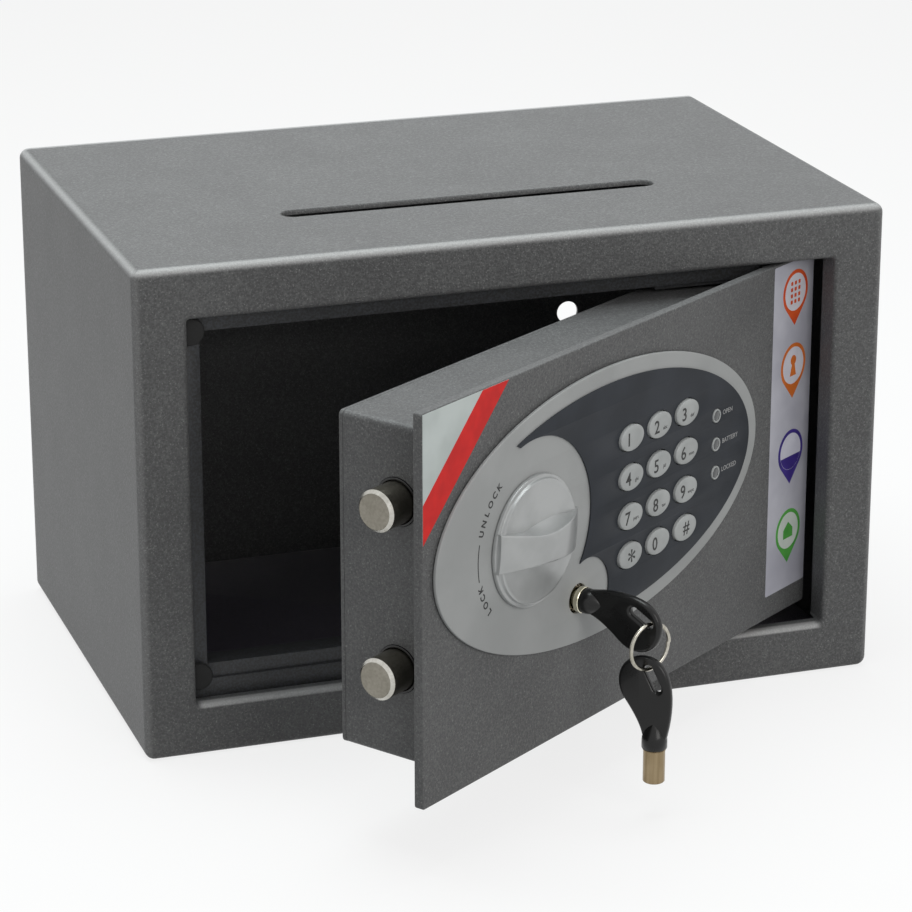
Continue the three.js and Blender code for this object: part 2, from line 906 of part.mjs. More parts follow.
// Dark film: an inner oval, cut off on the left by a round lobe about the knob and a
// small one about the lock
function makeFilm() {
  const [from, to] = [filmFront - overrun, filmBack + overrun];
  const lobeX = lockX + fascia.lockLobeX;
  const lobeZ = lockZ + fascia.lockLobeZ;
  const body = slabY(
    oval(fasciaX, fasciaZ, fasciaHalfWidth - fascia.border, fasciaHalfHeight - fascia.border),
    filmFront,
    filmBack,
    fineFacets,
  )
    .subtract(rodY(
      knobX + fascia.knobLobeX,
      knobZ + fascia.knobLobeZ,
      fascia.knobLobeRadius,
      from,
      to,
      fineFacets * 2,
    ))
    .subtract(rodY(lobeX, lobeZ, fascia.lockLobeRadius, from, to, fineFacets))
    .subtract(block(plate.left, knobX + fascia.tipX, from, to, plate.low, plate.high))
    .subtract(block(plate.left, lobeX, from, to, plate.low, lobeZ + fascia.lockLobeRadius / 2))
    .subtract(keypadHoles(from, to));
  return piece('keypad_film', body, 'film');
}

const keyNames = ['1', '2', '3', '4', '5', '6', '7', '8', '9', 'star', '0', 'hash'];

function makeKeypadKey(index) {
  const [x, z] = keyPlace(index);
  const full = oval(x, z, keyHalfWidth, keyHalfHeight);
  const crown = oval(x, z, keyHalfWidth * keypad.crownShare, keyHalfHeight * keypad.crownShare);
  const face = filmFront - keypad.rise;
  const body = loft([
    { outline: full, y: boardFront - keypad.travel - seatGap },
    { outline: full, y: face + keypad.crown },
    { outline: crown, y: face },
  ], plainFacets / 2);
  return piece(`key_${keyNames[index]}`, body, 'key');
}

function makeLamp(index) {
  const [x, z] = lampPlace(index);
  const body = turnedY(x, z, [
    [0, filmFront - lamp.rise],
    [lamp.lensRadius, filmFront - lamp.rise],
    [lamp.radius, filmFront],
    [lamp.radius, boardFront - seatGap],
    [0, boardFront - seatGap],
  ], smallFacets);
  return piece(`status_lamp_${index + 1}`, body, 'lens');
}

function makeControlBoard() {
  const [left, right, low, high] = windowSides(board.margin * 2);
  const body = block(left, right, boardFront, boardFront + board.thickness, low, high)
    .add(block(
      left + board.chip,
      left + board.chip * 2,
      boardFront + board.thickness / 2,
      boardFront + board.thickness * 2,
      high - board.chip * 2,
      high - board.chip,
    ));
  return piece('control_board', body, 'board');
}

// Knob: low turned dish with a long waisted grip across it
function makeKnob() {
  const back = fasciaFront - seatGap;
  const at = (out) => back - out;
  const dish = turnedY(knobX, knobZ, [
    [0, at(0)],
    [knob.radius, at(0)],
    [knob.radius, at(knob.rim)],
    [knob.rimRadius, at(knob.rim)],
    [knob.rimRadius, at(knob.shoulder * knob.shoulderShare)],
    [knob.rimRadius - knob.rim / 2, at(knob.shoulder)],
    [knob.crownRadius / 2, at(knob.shoulder + knob.rim / 2)],
    [0, at(knob.shoulder + knob.rim / 2)],
  ], fineFacets);
  const [left, right] = [knobX - knob.gripLength / 2, knobX + knob.gripLength / 2];
  const [leftHalf, rightHalf, waist] = [knob.gripLeftWidth / 2, knob.gripRightWidth / 2, knob.gripWaist / 2];
  const grip = new THREE.Shape();
  grip.moveTo(left, knobZ - leftHalf);
  grip.quadraticCurveTo(knobX, knobZ - waist, right, knobZ - rightHalf);
  grip.lineTo(right, knobZ + rightHalf);
  grip.bezierCurveTo(
    knobX + knob.gripLength / 4,
    knobZ + waist / 2,
    knobX,
    knobZ + leftHalf,
    left,
    knobZ + leftHalf,
  );
  grip.closePath();
  const [edgeShare, innerShare] = knob.crownShares;
  const envelope = turnedY(knobX, knobZ, [
    [0, at(knob.rim)],
    [knob.rimRadius, at(knob.rim)],
    [knob.rimRadius, at(knob.shoulder)],
    [knob.crownRadius, at(knob.height * edgeShare)],
    [knob.crownRadius / 2, at(knob.height * innerShare)],
    [0, at(knob.height)],
  ], fineFacets);
  const ridge = slabY(grip, at(knob.height + overrun), at(knob.rim), cornerFacets * 2).intersect(envelope);
  const bore = rodY(knobX, knobZ, spindle.hole, at(knob.boreDepth), back + overrun);
  return piece('knob', dish.add(ridge).subtract(bore), 'silver');
}

const camFront = plate.back + seatGap + spindle.bushFlangeThickness + cam.clearance;
const camBack = camFront + cam.thickness;
const armFront = camBack + cam.thickness - seatGap;

function makeSpindle() {
  const start = fasciaFront - seatGap - knob.boreDepth + seatGap;
  return piece('knob_spindle', rodY(knobX, knobZ, spindle.radius, start, camBack), 'zinc');
}

function makeKnobBush() {
  const inner = spindle.hole;
  const body = turnedY(knobX, knobZ, [
    [inner, plate.front],
    [spindle.bushRadius, plate.front],
    [spindle.bushRadius, plate.back + seatGap],
    [spindle.bushFlange, plate.back + seatGap],
    [spindle.bushFlange, plate.back + seatGap + spindle.bushFlangeThickness],
    [inner, plate.back + seatGap + spindle.bushFlangeThickness],
    [inner, plate.front],
  ]);
  return piece('knob_bush', body, 'brass');
}

// Crank pin starts up and to the left of the spindle and swings over it to the right
const crankAngle = THREE.MathUtils.degToRad(cam.crankDegrees);
const crankX = knobX - cam.crankRadius * Math.sin(crankAngle);
const crankZ = knobZ + cam.crankRadius * Math.cos(crankAngle);

function makeCam() {
  const body = rodY(knobX, knobZ, cam.radius, camFront, camBack, fineFacets)
    .subtract(rodY(knobX, knobZ, spindle.hole, camFront - overrun, camBack + overrun))
    .add(rodY(
      crankX,
      crankZ,
      cam.pinRadius,
      camBack - cam.thickness / 2,
      armFront + carriage.sheet + overrun,
      smallFacets,
    ));
  return piece('knob_cam', body, 'zinc');
}

// Bolts: the tips stand out of the door pan when locked
const boltTip = box.left - bolt.reach;
const boltTail = boltTip + bolt.length;

function makeBolt(name, z) {
  const facets = fineFacets;
  const shaft = new THREE.CylinderGeometry(bolt.radius, bolt.radius, bolt.length - bolt.chamfer, facets);
  const nose = new THREE.CylinderGeometry(bolt.radius, bolt.radius - bolt.chamfer, bolt.chamfer * 2, facets);
  shaft.rotateZ(-Math.PI / 2).translate((boltTip + bolt.chamfer + boltTail) / 2, boltY, z);
  nose.rotateZ(-Math.PI / 2).translate(boltTip + bolt.chamfer, boltY, z);
  return piece(name, solid(shaft).add(solid(nose)), 'steel');
}

function makeBoltBush(name, z) {
  const inner = bolt.radius + seatGap;
  const outer = inner + bolt.bushWall;
  const flangeLeft = box.left + pan.sheet + seatGap;
  const body = rodX(boltY, z, outer, box.left, box.left + bolt.bushLength)
    .add(rodX(boltY, z, bolt.bushFlange, flangeLeft, flangeLeft + bolt.bushFlangeThickness))
    .subtract(rodX(boltY, z, inner, box.left - overrun, box.left + bolt.bushLength + overrun));
  return piece(name, body, 'black');
}

const guideX = knobX + carriage.guideX;
const guideZ = knobZ + carriage.guideZ;
const guideRoom = carriage.guideRadius + carriage.guideClearance;
const armBack = armFront + carriage.sheet;
const webLeft = boltTail + seatGap;
const webRight = webLeft + carriage.sheet;
const pinSlotHalf = cam.pinRadius + carriage.slotClearance;
const armRight = crankX + pinSlotHalf + carriage.armEnd;
const armTop = guideZ + carriage.guideRadius + carriage.topMargin;
const armLow = crankZ - pinSlotHalf - carriage.armMargin;

// Carriage: an upright web behind both bolts and an arm that the crank pin pushes
function makeCarriage() {
  const web = block(
    webLeft,
    webRight,
    armFront,
    boltY + bolt.radius,
    lowerBoltZ - carriage.endMargin,
    upperBoltZ + carriage.endMargin,
  );
  const arm = block(webRight - overrun, armRight, armFront, armBack, armLow, armTop);
  const [from, to] = [armFront - overrun, armBack + overrun];
  const pinSlot = slabY(
    rectangle(
      crankX - pinSlotHalf,
      crankX + pinSlotHalf,
      crankZ - pinSlotHalf,
      knobZ + cam.crankRadius + pinSlotHalf,
      pinSlotHalf * carriage.slotRoundShare,
    ),
    from,
    to,
  );
  const guideSlot = slabY(
    rectangle(
      guideX - bolt.travel - guideRoom,
      guideX + guideRoom,
      guideZ - guideRoom,
      guideZ + guideRoom,
      guideRoom * carriage.slotRoundShare,
    ),
    from,
    to,
  );
  return piece('bolt_carriage', web.add(arm).subtract(pinSlot).subtract(guideSlot), 'zinc');
}

function makeCarriageGuide() {
  const gap = seatGap;
  const body = turnedY(guideX, guideZ, [
    [0, plate.back + gap],
    [carriage.guideHead, plate.back + gap],
    [carriage.guideHead, armFront - gap],
    [carriage.guideRadius, armFront - gap],
    [carriage.guideRadius, armBack + gap],
    [carriage.guideHead, armBack + gap],
    [carriage.guideHead, armBack + gap + carriage.sheet],
    [0, armBack + gap + carriage.sheet],
  ], smallFacets);
  return piece('carriage_guide', body, 'zinc');
}

const plungerX = armRight + solenoid.sideClearance + solenoid.plungerRadius;
const plungerY = (armFront + armBack) / 2;
const plungerLow = armTop + solenoid.lift;
const coilLow = plungerLow + solenoid.nose;
const coilHigh = box.high - pan.sheet - solenoid.headGap;
const plungerHigh = coilLow + solenoid.plungerShare * (coilHigh - coilLow);

function makeSolenoid() {
  const body = block(
    plungerX - solenoid.width / 2,
    plungerX + solenoid.width / 2,
    plate.back + seatGap,
    plate.back + seatGap + solenoid.depth,
    coilLow,
    coilHigh,
  ).subtract(rodZ(
    plungerX,
    plungerY,
    solenoid.plungerRadius + seatGap,
    coilLow - overrun,
    plungerHigh + solenoid.boreRoom,
    smallFacets,
  ));
  return piece('solenoid_body', body, 'zinc');
}

function makePlunger() {
  const body = rodZ(plungerX, plungerY, solenoid.plungerRadius, plungerLow, plungerHigh, smallFacets);
  return piece('solenoid_plunger', body, 'nickel');
}

const housingBack = plate.front + lock.length;
const plugFront = plate.front + lock.plugRecess;
const leverFront = housingBack + seatGap;

function makeLockHousing() {
  const inner = lock.plugRadius + seatGap;
  const rear = plate.back + seatGap;
  const body = turnedY(lockX, lockZ, [
    [inner, plate.front + seatGap],
    [lock.housingRadius, plate.front + seatGap],
    [lock.housingRadius, rear],
    [lock.flangeRadius, rear],
    [lock.flangeRadius, rear + lock.flangeThickness],
    [lock.housingRadius, rear + lock.flangeThickness],
    [lock.housingRadius, housingBack],
    [inner, housingBack],
    [inner, plate.front + seatGap],
  ]);
  return piece('lock_housing', body, 'nickel');
}

// Plug with the ring-shaped groove that the tubular key enters
function makeLockPlug() {
  const end = plugFront + lock.plugLength;
  const body = turnedY(lockX, lockZ, [
    [0, plugFront],
    [lock.grooveInner, plugFront],
    [lock.grooveInner, plugFront + lock.grooveDepth],
    [lock.grooveOuter, plugFront + lock.grooveDepth],
    [lock.grooveOuter, plugFront],
    [lock.plugRadius, plugFront],
    [lock.plugRadius, housingBack],
    [lock.tailRadius, housingBack],
    [lock.tailRadius, end + lock.leverThickness],
    [0, end + lock.leverThickness],
  ]);
  return piece('lock_plug', body, 'nickel');
}

function makeLockLever() {
  const half = lock.leverWidth / 2;
  const body = slabY(
    rectangle(lockX - half, lockX + half, lockZ - lock.leverLength, lockZ + half, half * lock.leverRoundShare),
    leverFront,
    leverFront + lock.leverThickness,
  ).subtract(rodY(
    lockX,
    lockZ,
    lock.tailRadius + seatGap,
    leverFront - overrun,
    leverFront + lock.leverThickness + overrun,
    smallFacets,
  ));
  return piece('lock_lever', body, 'zinc');
}

// Key drawn along Z with its bow upwards: shares of the bow's length for its curves
const bowShares = {
  topOut: [0.45, 0.22],
  topIn: [0.95, 0.24],
  tip: [1, -0.07],
  heelOut: [1.03, -0.36],
  heelIn: [0.72, -0.5],
  heel: [0.5, -0.33],
};

// Middle of the eye's end, where the ring sits
const eyeEnd = [key.length - key.eyeEndSetback, -key.eyeEndDrop];
const eyeSlope = THREE.MathUtils.degToRad(key.eyeSlopeDegrees);

function makeBow(name) {
  const place = ([alongShare, acrossShare]) => [alongShare * key.length, acrossShare * key.length];
  const outline = new THREE.Shape();
  outline.moveTo(0, key.neckHalf);
  outline.lineTo(key.neck, key.neckHalf);
  outline.bezierCurveTo(...place(bowShares.topOut), ...place(bowShares.topIn), ...place(bowShares.tip));
  outline.bezierCurveTo(...place(bowShares.heelOut), ...place(bowShares.heelIn), ...place(bowShares.heel));
  outline.lineTo(key.neck, -key.neckHalf);
  outline.lineTo(0, -key.neckHalf);
  outline.closePath();
  const blank = new THREE.ExtrudeGeometry(outline, {
    depth: key.thickness,
    bevelEnabled: false,
    curveSegments: smallFacets / 2,
  }).translate(0, 0, -key.thickness / 2);
  const half = key.eyeHalfWidth;
  const eye = rectangle(-key.eyeLength, half, -half, half, half * key.eyeRoundShare);
  const eyeCut = new THREE.ExtrudeGeometry(eye, {
    depth: key.thickness + overrun * 2,
    bevelEnabled: false,
    curveSegments: cornerFacets,
  }).translate(0, 0, -key.thickness / 2 - overrun);
  eyeCut.rotateZ(-eyeSlope).translate(...eyeEnd, 0);
  const collar = new THREE.CylinderGeometry(key.neckHalf, key.neckHalf, key.neck, plainFacets);
  collar.rotateZ(Math.PI / 2).translate(key.neck / 2, 0, 0);
  const bore = new THREE.CylinderGeometry(
    key.tubeRadius + seatGap,
    key.tubeRadius + seatGap,
    key.tubeInBow + overrun,
    plainFacets,
  );
  bore.rotateZ(Math.PI / 2).translate((key.tubeInBow - overrun) / 2, 0, 0);
  return piece(name, solid(blank).subtract(solid(eyeCut)).add(solid(collar)).subtract(solid(bore)), 'black');
}

function makeTube(name, shown) {
  const inner = key.tubeRadius - key.tubeWall;
  const [from, to] = [-shown, key.tubeInBow - seatGap];
  const middle = (from + to) / 2;
  const outside = new THREE.CylinderGeometry(key.tubeRadius, key.tubeRadius, to - from, plainFacets);
  const bore = new THREE.CylinderGeometry(inner, inner, to - from + overrun * 2, plainFacets);
  outside.rotateZ(Math.PI / 2).translate(middle, 0, 0);
  bore.rotateZ(Math.PI / 2).translate(middle, 0, 0);
  return piece(name, solid(outside).subtract(solid(bore)), 'nickel');
}

// Key in the lock: its length runs straight out of the door, the wide side of the bow down
const bowStart = fasciaFront - key.bowGap;

function makeKeyInLock() {
  const group = new THREE.Group();
  const axes = new THREE.Matrix4().makeBasis(
    new THREE.Vector3(0, -1, 0),
    new THREE.Vector3(0, 0, 1),
    new THREE.Vector3(-1, 0, 0),
  );
  group.applyMatrix4(axes);
  group.position.set(lockX, bowStart, lockZ);
  group.add(makeBow('key_bow'));
  group.add(makeTube('key_tube', plugFront + key.insertion - bowStart));
  return group;
}

// Ring hangs from the eye of the first key and the spare key hangs from the ring
const ringTopY = bowStart - eyeEnd[0];
const ringTopZ = lockZ + eyeEnd[1];

function makeRing() {
  const hoop = new THREE.TorusGeometry(ring.radius, ring.wireRadius, smallFacets / 2 + 1, fineFacets);
  const group = new THREE.Group();
  hoop.rotateX(Math.PI / 2);
  group.add(piece('key_ring', solid(hoop), 'nickel'));
  group.rotation.z = THREE.MathUtils.degToRad(-ring.turnDegrees);
  group.position.set(lockX, ringTopY, ringTopZ - ring.radius);
  return group;
}

function makeSpareKey() {
  const group = new THREE.Group();
  const lean = THREE.MathUtils.degToRad(key.twistDegrees - ring.turnDegrees);
  const inner = new THREE.Group();
  const axes = new THREE.Matrix4().makeBasis(
    new THREE.Vector3(0, 0, 1),
    new THREE.Vector3(0, -1, 0),
    new THREE.Vector3(1, 0, 0),
  );
  inner.add(makeBow('spare_key_bow'));
  inner.add(makeTube('spare_key_tube', key.tubeShown));
  inner.position.set(-eyeEnd[0], -eyeEnd[1], 0);
  const turned = new THREE.Group();
  turned.applyMatrix4(axes);
  turned.add(inner);
  group.add(turned);
  group.rotation.z = lean;
  group.position.set(lockX, ringTopY, ringTopZ - ring.radius * 2);
  return group;
}

// The door, drawn closed
const closedDoor = new THREE.Group();
closedDoor.add(makeDoorPlate(), makeDoorPan(), makeBackCover(), makeBatteryCover(), makeBatteryTray());
for (const index of Array(cellCount).keys()) {
  closedDoor.add(makeCell(index));
}
closedDoor.add(makeResetButton());
const upperLugTop = box.high + hinge.runningGap + rail.sheet;
closedDoor.add(
  makeHingePin('hinge_pin_upper', box.high - pan.sheet, upperLugTop + hinge.pinOverhang),
  makeHingePin('hinge_pin_lower', box.low + pan.sheet, railTop - rail.sheet - hinge.pinOverhang),
);
closedDoor.add(makeFascia(), makeFilm(), makeControlBoard());
for (const index of keyIndexes) {
  closedDoor.add(makeKeypadKey(index));
}
for (const index of lampIndexes) {
  closedDoor.add(makeLamp(index));
}
closedDoor.add(makeKnob(), makeSpindle(), makeKnobBush(), makeCam());
closedDoor.add(makeBolt('bolt_upper', upperBoltZ), makeBolt('bolt_lower', lowerBoltZ));
closedDoor.add(makeBoltBush('bolt_bush_upper', upperBoltZ), makeBoltBush('bolt_bush_lower', lowerBoltZ));
closedDoor.add(makeCarriage(), makeCarriageGuide(), makeSolenoid(), makePlunger());
closedDoor.add(makeLockHousing(), makeLockPlug(), makeLockLever());
closedDoor.add(makeKeyInLock(), makeRing(), makeSpareKey());

// Swung open about the hinge pins
closedDoor.position.set(-axisX, -axisY, 0);
const swingingDoor = new THREE.Group();
swingingDoor.add(closedDoor);
swingingDoor.rotation.z = THREE.MathUtils.degToRad(door.openDegrees);
swingingDoor.position.set(axisX, axisY, 0);

const safe = new THREE.Group();
safe.add(makeShell(), makeBackPanel(), makeStopFlange(), makeSillRail(), makeHingeBracket());
safe.add(makeBaffle(), makeFloorMat(), makeHingeSpacer());
safe.add(makeBumper('bumper_upper', wayIn.high - bumper.headDrop));
safe.add(makeBumper('bumper_lower', wayIn.low + bumper.sillHeight));
safe.add(swingingDoor);

export default safe;
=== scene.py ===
import math

import bmesh
import bpy
import numpy as np
from mathutils import Matrix, Vector


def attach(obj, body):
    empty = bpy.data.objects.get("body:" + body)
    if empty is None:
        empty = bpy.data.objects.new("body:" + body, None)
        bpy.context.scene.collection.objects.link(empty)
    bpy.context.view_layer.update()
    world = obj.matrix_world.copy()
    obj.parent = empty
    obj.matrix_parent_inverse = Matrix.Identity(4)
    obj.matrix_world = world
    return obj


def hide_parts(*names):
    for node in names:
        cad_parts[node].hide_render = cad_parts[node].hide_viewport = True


# Counter-top drop safe with a deposit slot in its roof, an electronic keypad lock and a
# turning knob. Metres, +X right, +Y into the safe, +Z up, with the origin on the floor.
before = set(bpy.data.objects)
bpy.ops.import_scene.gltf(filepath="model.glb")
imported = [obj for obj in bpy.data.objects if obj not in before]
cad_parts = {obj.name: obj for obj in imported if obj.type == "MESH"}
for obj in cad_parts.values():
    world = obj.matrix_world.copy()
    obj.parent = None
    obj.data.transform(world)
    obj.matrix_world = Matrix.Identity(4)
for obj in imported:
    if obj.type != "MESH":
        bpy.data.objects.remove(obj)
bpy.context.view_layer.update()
scene = bpy.context.scene

# ---- Camera ----
# It stands to the left of the safe, a little above it, and looks at it along the lens that
# makes the cabinet's edges run as they do in the photograph.
heading, tilt = 0.32698, 0.33308
aim = Vector((0.007148, 0, 0.076515))
reach = 1.49298
sight = Vector((
    math.sin(heading) * math.cos(tilt),
    math.cos(heading) * math.cos(tilt),
    -math.sin(tilt),
))


def put(name, data):
    """A new object with that data, in the scene."""
    made = bpy.data.objects.new(name, data)
    scene.collection.objects.link(made)
    return made


camera = put("camera", bpy.data.cameras.new("camera"))
camera.data.lens, camera.data.sensor_width = 138.66, 36
camera.location = aim - sight * reach
camera.rotation_euler = sight.to_track_quat("-Z", "Y").to_euler()
scene.camera = camera


# ---- Studio ----
# A white floor and a white room. One wide soft lamp hangs above the safe, and another
# stands in front of it, to the right.
class Value:
    """What comes out of a shader node. Signs between values add the Math nodes."""

    def __init__(self, shader, socket):
        self.shader, self.socket = shader, socket

    def sum(self, operation, *terms):
        return self.shader.node("ShaderNodeMath", {"operation": operation}, dict(enumerate(terms)))

    def __add__(self, other):
        return self.sum("ADD", self, other)

    def __sub__(self, other):
        return self.sum("SUBTRACT", self, other)

    def __rsub__(self, other):
        return self.sum("SUBTRACT", other, self)

    def __mul__(self, other):
        return self.sum("MULTIPLY", self, other)

    __radd__, __rmul__ = __add__, __mul__

    def or_more(self, other):
        return self.sum("MAXIMUM", self, other)

    def step(self, low, high, start=0, end=1):
        """start up to low, end from high on, and a smooth way between."""
        return self.shader.node(
            "ShaderNodeMapRange",
            {"interpolation_type": "SMOOTHSTEP"},
            {"Value": self, "From Min": low, "From Max": high, "To Min": start, "To Max": end},
        )


class Shader:
    """A tree of shader nodes, filled in one node at a time."""

    def __init__(self, tree):
        self.tree = tree
        tree.nodes.clear()

    def node(self, kind, settings=None, sockets=None, out=0):
        """A new node: its settings first, then what goes into its sockets."""
        made = self.tree.nodes.new(kind)
        for name, value in (settings or {}).items():
            setattr(made, name, value)
        for key, value in (sockets or {}).items():
            socket = made.inputs[key]
            if isinstance(value, Value):
                self.tree.links.new(value.socket, socket)
            elif isinstance(value, tuple) and len(value) == 3 and socket.type == "RGBA":
                socket.default_value = (*value, 1)
            else:
                socket.default_value = value
        return Value(self, made.outputs[out]) if made.outputs else made

    def blend(self, share, first, second):
        """The first colour where share is 0, the second where it is 1."""
        return self.node(
            "ShaderNodeMix", {"data_type": "RGBA"}, {0: share, 6: first, 7: second}, out=2,
        )


def shade(levels):
    """A colour from its red, green and blue in a picture, 0 to 255, or a grey from one such
    number, turned to light levels."""
    shares = np.broadcast_to(levels, 3) / 255
    bright = ((shares + 0.055) / 1.055) ** 2.4
    return tuple(np.where(shares <= 0.04045, shares / 12.92, bright).tolist())


def seen_white(shader):
    """1 where the camera, a mirror or a glass looks at it, 0 where it gives light."""
    rays = [
        shader.node("ShaderNodeLightPath", out=name)
        for name in ("Is Camera Ray", "Is Glossy Ray", "Is Transmission Ray")
    ]
    return rays[0].or_more(rays[1]).or_more(rays[2])


room_light = 0.42
room = bpy.data.worlds.new("room")
scene.world = room
room.use_nodes = True
room_shader = Shader(room.node_tree)
room_strength = room_light + (1 - room_light) * seen_white(room_shader)
room_shader.node("ShaderNodeOutputWorld", {}, {"Surface": room_shader.node(
    "ShaderNodeBackground", {}, {"Color": shade(255), "Strength": room_strength},
)})
scene.view_settings.view_transform = "Standard"


def soft_lamp(name, place, target, size, power, colour):
    """A square lamp that faces the target."""
    lamp = put(name, bpy.data.lights.new(name, "AREA"))
    lamp.data.size, lamp.data.energy, lamp.data.color = size, power, colour
    lamp.location = place
    lamp.rotation_euler = (Vector(target) - Vector(place)).to_track_quat("-Z", "Y").to_euler()


soft_lamp("lamp_above", (-0.1, 0.15, 1.3), (0, 0, 0.1), 0.9, 12.5, (0.93, 1, 1))
soft_lamp("lamp_front", (0.35, -1.65, 0.9), (0, 0, 0.1), 0.9, 8, (1, 0.98, 0.95))

floor_half, floor_drop = 3, 0.0002
floor_mesh = bpy.data.meshes.new("floor")
floor_signs = [(-1, -1), (1, -1), (1, 1), (-1, 1)]
floor_corners = [(floor_half * x, floor_half * y, 0) for x, y in floor_signs]
floor_mesh.from_pydata(floor_corners, [], [(0, 1, 2, 3)])
floor = put("floor", floor_mesh)
floor.location.z = -floor_drop
floor_paper = bpy.data.materials.new("floor_paper")
floor_paper.use_nodes = True
paper_shader = Shader(floor_paper.node_tree)
paper_seen = seen_white(paper_shader)
lit_paper = paper_shader.node("ShaderNodeBsdfDiffuse", {}, {
    "Color": paper_shader.blend(paper_seen, shade(160), shade(240)),
})
bright_paper = paper_shader.node("ShaderNodeEmission", {}, {"Color": shade(255), "Strength": 1.0})
paper_shader.node("ShaderNodeOutputMaterial", {}, {"Surface": paper_shader.node(
    "ShaderNodeMixShader", {}, {0: 0.8 * paper_seen, 1: lit_paper, 2: bright_paper},
)})
floor_mesh.materials.append(floor_paper)


# ---- Cabinet ----
# Box of 2 mm sheet steel with a rolled edge round its front, folded back round the door
# opening, and a slot cut in its roof. Painted in a grey hammered enamel; its top folds
# and the opening's sill carry a painted highlight, a lighter colour.
class Finish(Shader):
    """A material of the safe. Its patterns are laid out in the safe's own metres."""

    def __init__(self, name):
        self.material = bpy.data.materials.new(name)
        self.material.use_nodes = True
        super().__init__(self.material.node_tree)
        self.place = self.node("ShaderNodeTexCoord", out="Object")

    def noise(self, size, detail=2.0, place=None):
        """Cloudy pattern whose lumps are about size metres across."""
        return self.node("ShaderNodeTexNoise", {}, {
            "Vector": place or self.place, "Scale": 1 / size, "Detail": detail,
        })

    def stretched(self, *scales):
        """The place, stretched along each axis, for brushed and drawn metal."""
        return self.node("ShaderNodeMapping", {}, {"Vector": self.place, "Scale": scales})

    def bump(self, height, depth):
        """The surface's direction where it stands depth metres higher at height 1."""
        return self.node("ShaderNodeBump", {}, {"Height": height, "Distance": depth, "Strength": 1.0})

    def coat(self, **sockets):
        """Ends the material in one coated surface. Names are those of its sockets."""
        surface = self.node("ShaderNodeBsdfPrincipled", {}, {
            name.replace("_", " "): value for name, value in sockets.items()
        })
        self.node("ShaderNodeOutputMaterial", {}, {"Surface": surface})
        return self.material


def painted_fold_highlight(look):
    """How much painted highlight a fold of the cabinet gets: 1 along the top folds and the
    opening's sill, a quarter down the upright folds. At an outer fold two of the distances
    from the middle of the box are near half its size."""
    across, into, up = [
        look.node("ShaderNodeSeparateXYZ", {}, {0: look.place}, out=axis) for axis in range(3)
    ]

    def far(value, start, end):
        return look.node("ShaderNodeMath", {"operation": "ABSOLUTE"}, {0: value}).step(start, end)

    side, front_end, top = far(across, 0.1515, 0.154), far(into, 0.0965, 0.099), up.step(0.1965, 0.199)
    sill_line = (1 - far(up - 0.0215, 0.0012, 0.0022)) * (1 - far(into + 0.1, 0.0028, 0.0045))
    sill = sill_line * (1 - far(across, 0.131, 0.134))
    return (side * top).or_more(front_end * top).or_more(0.25 * side * front_end).or_more(sill)


def hammered(name, dark, light, fleck):
    """Hammered enamel: small dimples with pale flecks of metal between them. A painted
    highlight lightens it along the cabinet's folds and sill.
    """
    look = Finish(name)
    dimple = look.node("ShaderNodeTexVoronoi", {"feature": "SMOOTH_F1"}, {
        "Vector": look.place, "Scale": 950, "Smoothness": 0.6,
    })
    grain = look.noise(0.0006, 3)
    cloud = look.noise(0.03, 3)
    mottle = 0.65 * grain + 0.35 * dimple + 0.2 * (cloud - 0.5)
    tint = look.blend(mottle.step(0.3, 0.75), shade(dark), shade(light))
    tint = look.blend(grain.step(0.6, 0.74, 0, 0.55), tint, shade(fleck))
    # Painted highlight: the colour goes towards a pale grey along the folds and the sill.
    tint = look.blend(painted_fold_highlight(look) * (0.35 + 0.5 * grain), tint, shade(206))
    return look.coat(
        Base_Color=tint,
        Roughness=0.38 + 0.2 * grain,
        Specular_IOR_Level=0.35,
        Normal=look.bump(0.6 * grain + 0.4 * dimple, 0.00022),
    )


enamel = hammered("hammered_enamel_with_painted_highlight", (82, 82, 83), (108, 109, 109), 160)


def joined(*axes):
    """Points from what they measure along each axis, as arrays or as numbers for them all."""
    return np.stack(np.broadcast_arrays(*axes), -1)


def loop(box, radius, steps=6, guard=0.4, inset=0.0):
    """Rectangle with round corners, anticlockwise, its left, right, low and high sides moved
    inwards by inset: a quarter circle in equal steps at each corner, and one more point
    just before and just after it."""
    left, right, low, high = np.array(box) + (inset, -inset, inset, -inset)
    turns = np.radians(np.linspace(0, 90, steps + 1))
    corners = [(right - radius, low + radius, -90), (right - radius, high - radius, 0),
               (left + radius, high - radius, 90), (left + radius, low + radius, 180)]
    points = []
    for x, z, start in corners:
        angle = turns + math.radians(start)
        bend = joined(x + radius * np.cos(angle), z + radius * np.sin(angle))
        way = joined(-np.sin(angle), np.cos(angle))
        points += [bend[:1] - guard * way[:1], bend, bend[-1:] + guard * way[-1:]]
    return np.concatenate(points)


def level(outline, y):
    """An outline in X and Z set at depth y, which is one number or one for each point."""
    return joined(outline[:, 0], y, outline[:, 1])


def skin(levels, ring=False):
    """Surface through closed loops of points, one loop to a level. A flat face closes each
    end, or where ring is true the last loop meets the first."""
    levels = np.asarray(levels, float)
    rows, columns = levels.shape[:2]
    row = np.arange(rows if ring else rows - 1)[:, None]
    column = np.arange(columns)[None, :]
    below, beside = (row + 1) % rows, (column + 1) % columns
    faces = joined(
        row * columns + column, row * columns + beside,
        below * columns + beside, below * columns + column,
    ).reshape(-1, 4).tolist()
    if not ring:
        faces += [list(range(columns))[::-1], list(range((rows - 1) * columns, rows * columns))]
    return levels.reshape(-1, 3), faces


def volume_of(points, faces):
    """Signed volume inside faces, from the tetrahedra that each makes with the origin."""
    corners = np.concatenate([[(f[0], f[i], f[i + 1]) for i in range(1, len(f) - 1)] for f in faces])
    a, b, c = points[corners[:, 0]], points[corners[:, 1]], points[corners[:, 2]]
    return float((a * np.cross(b, c)).sum() / 6)


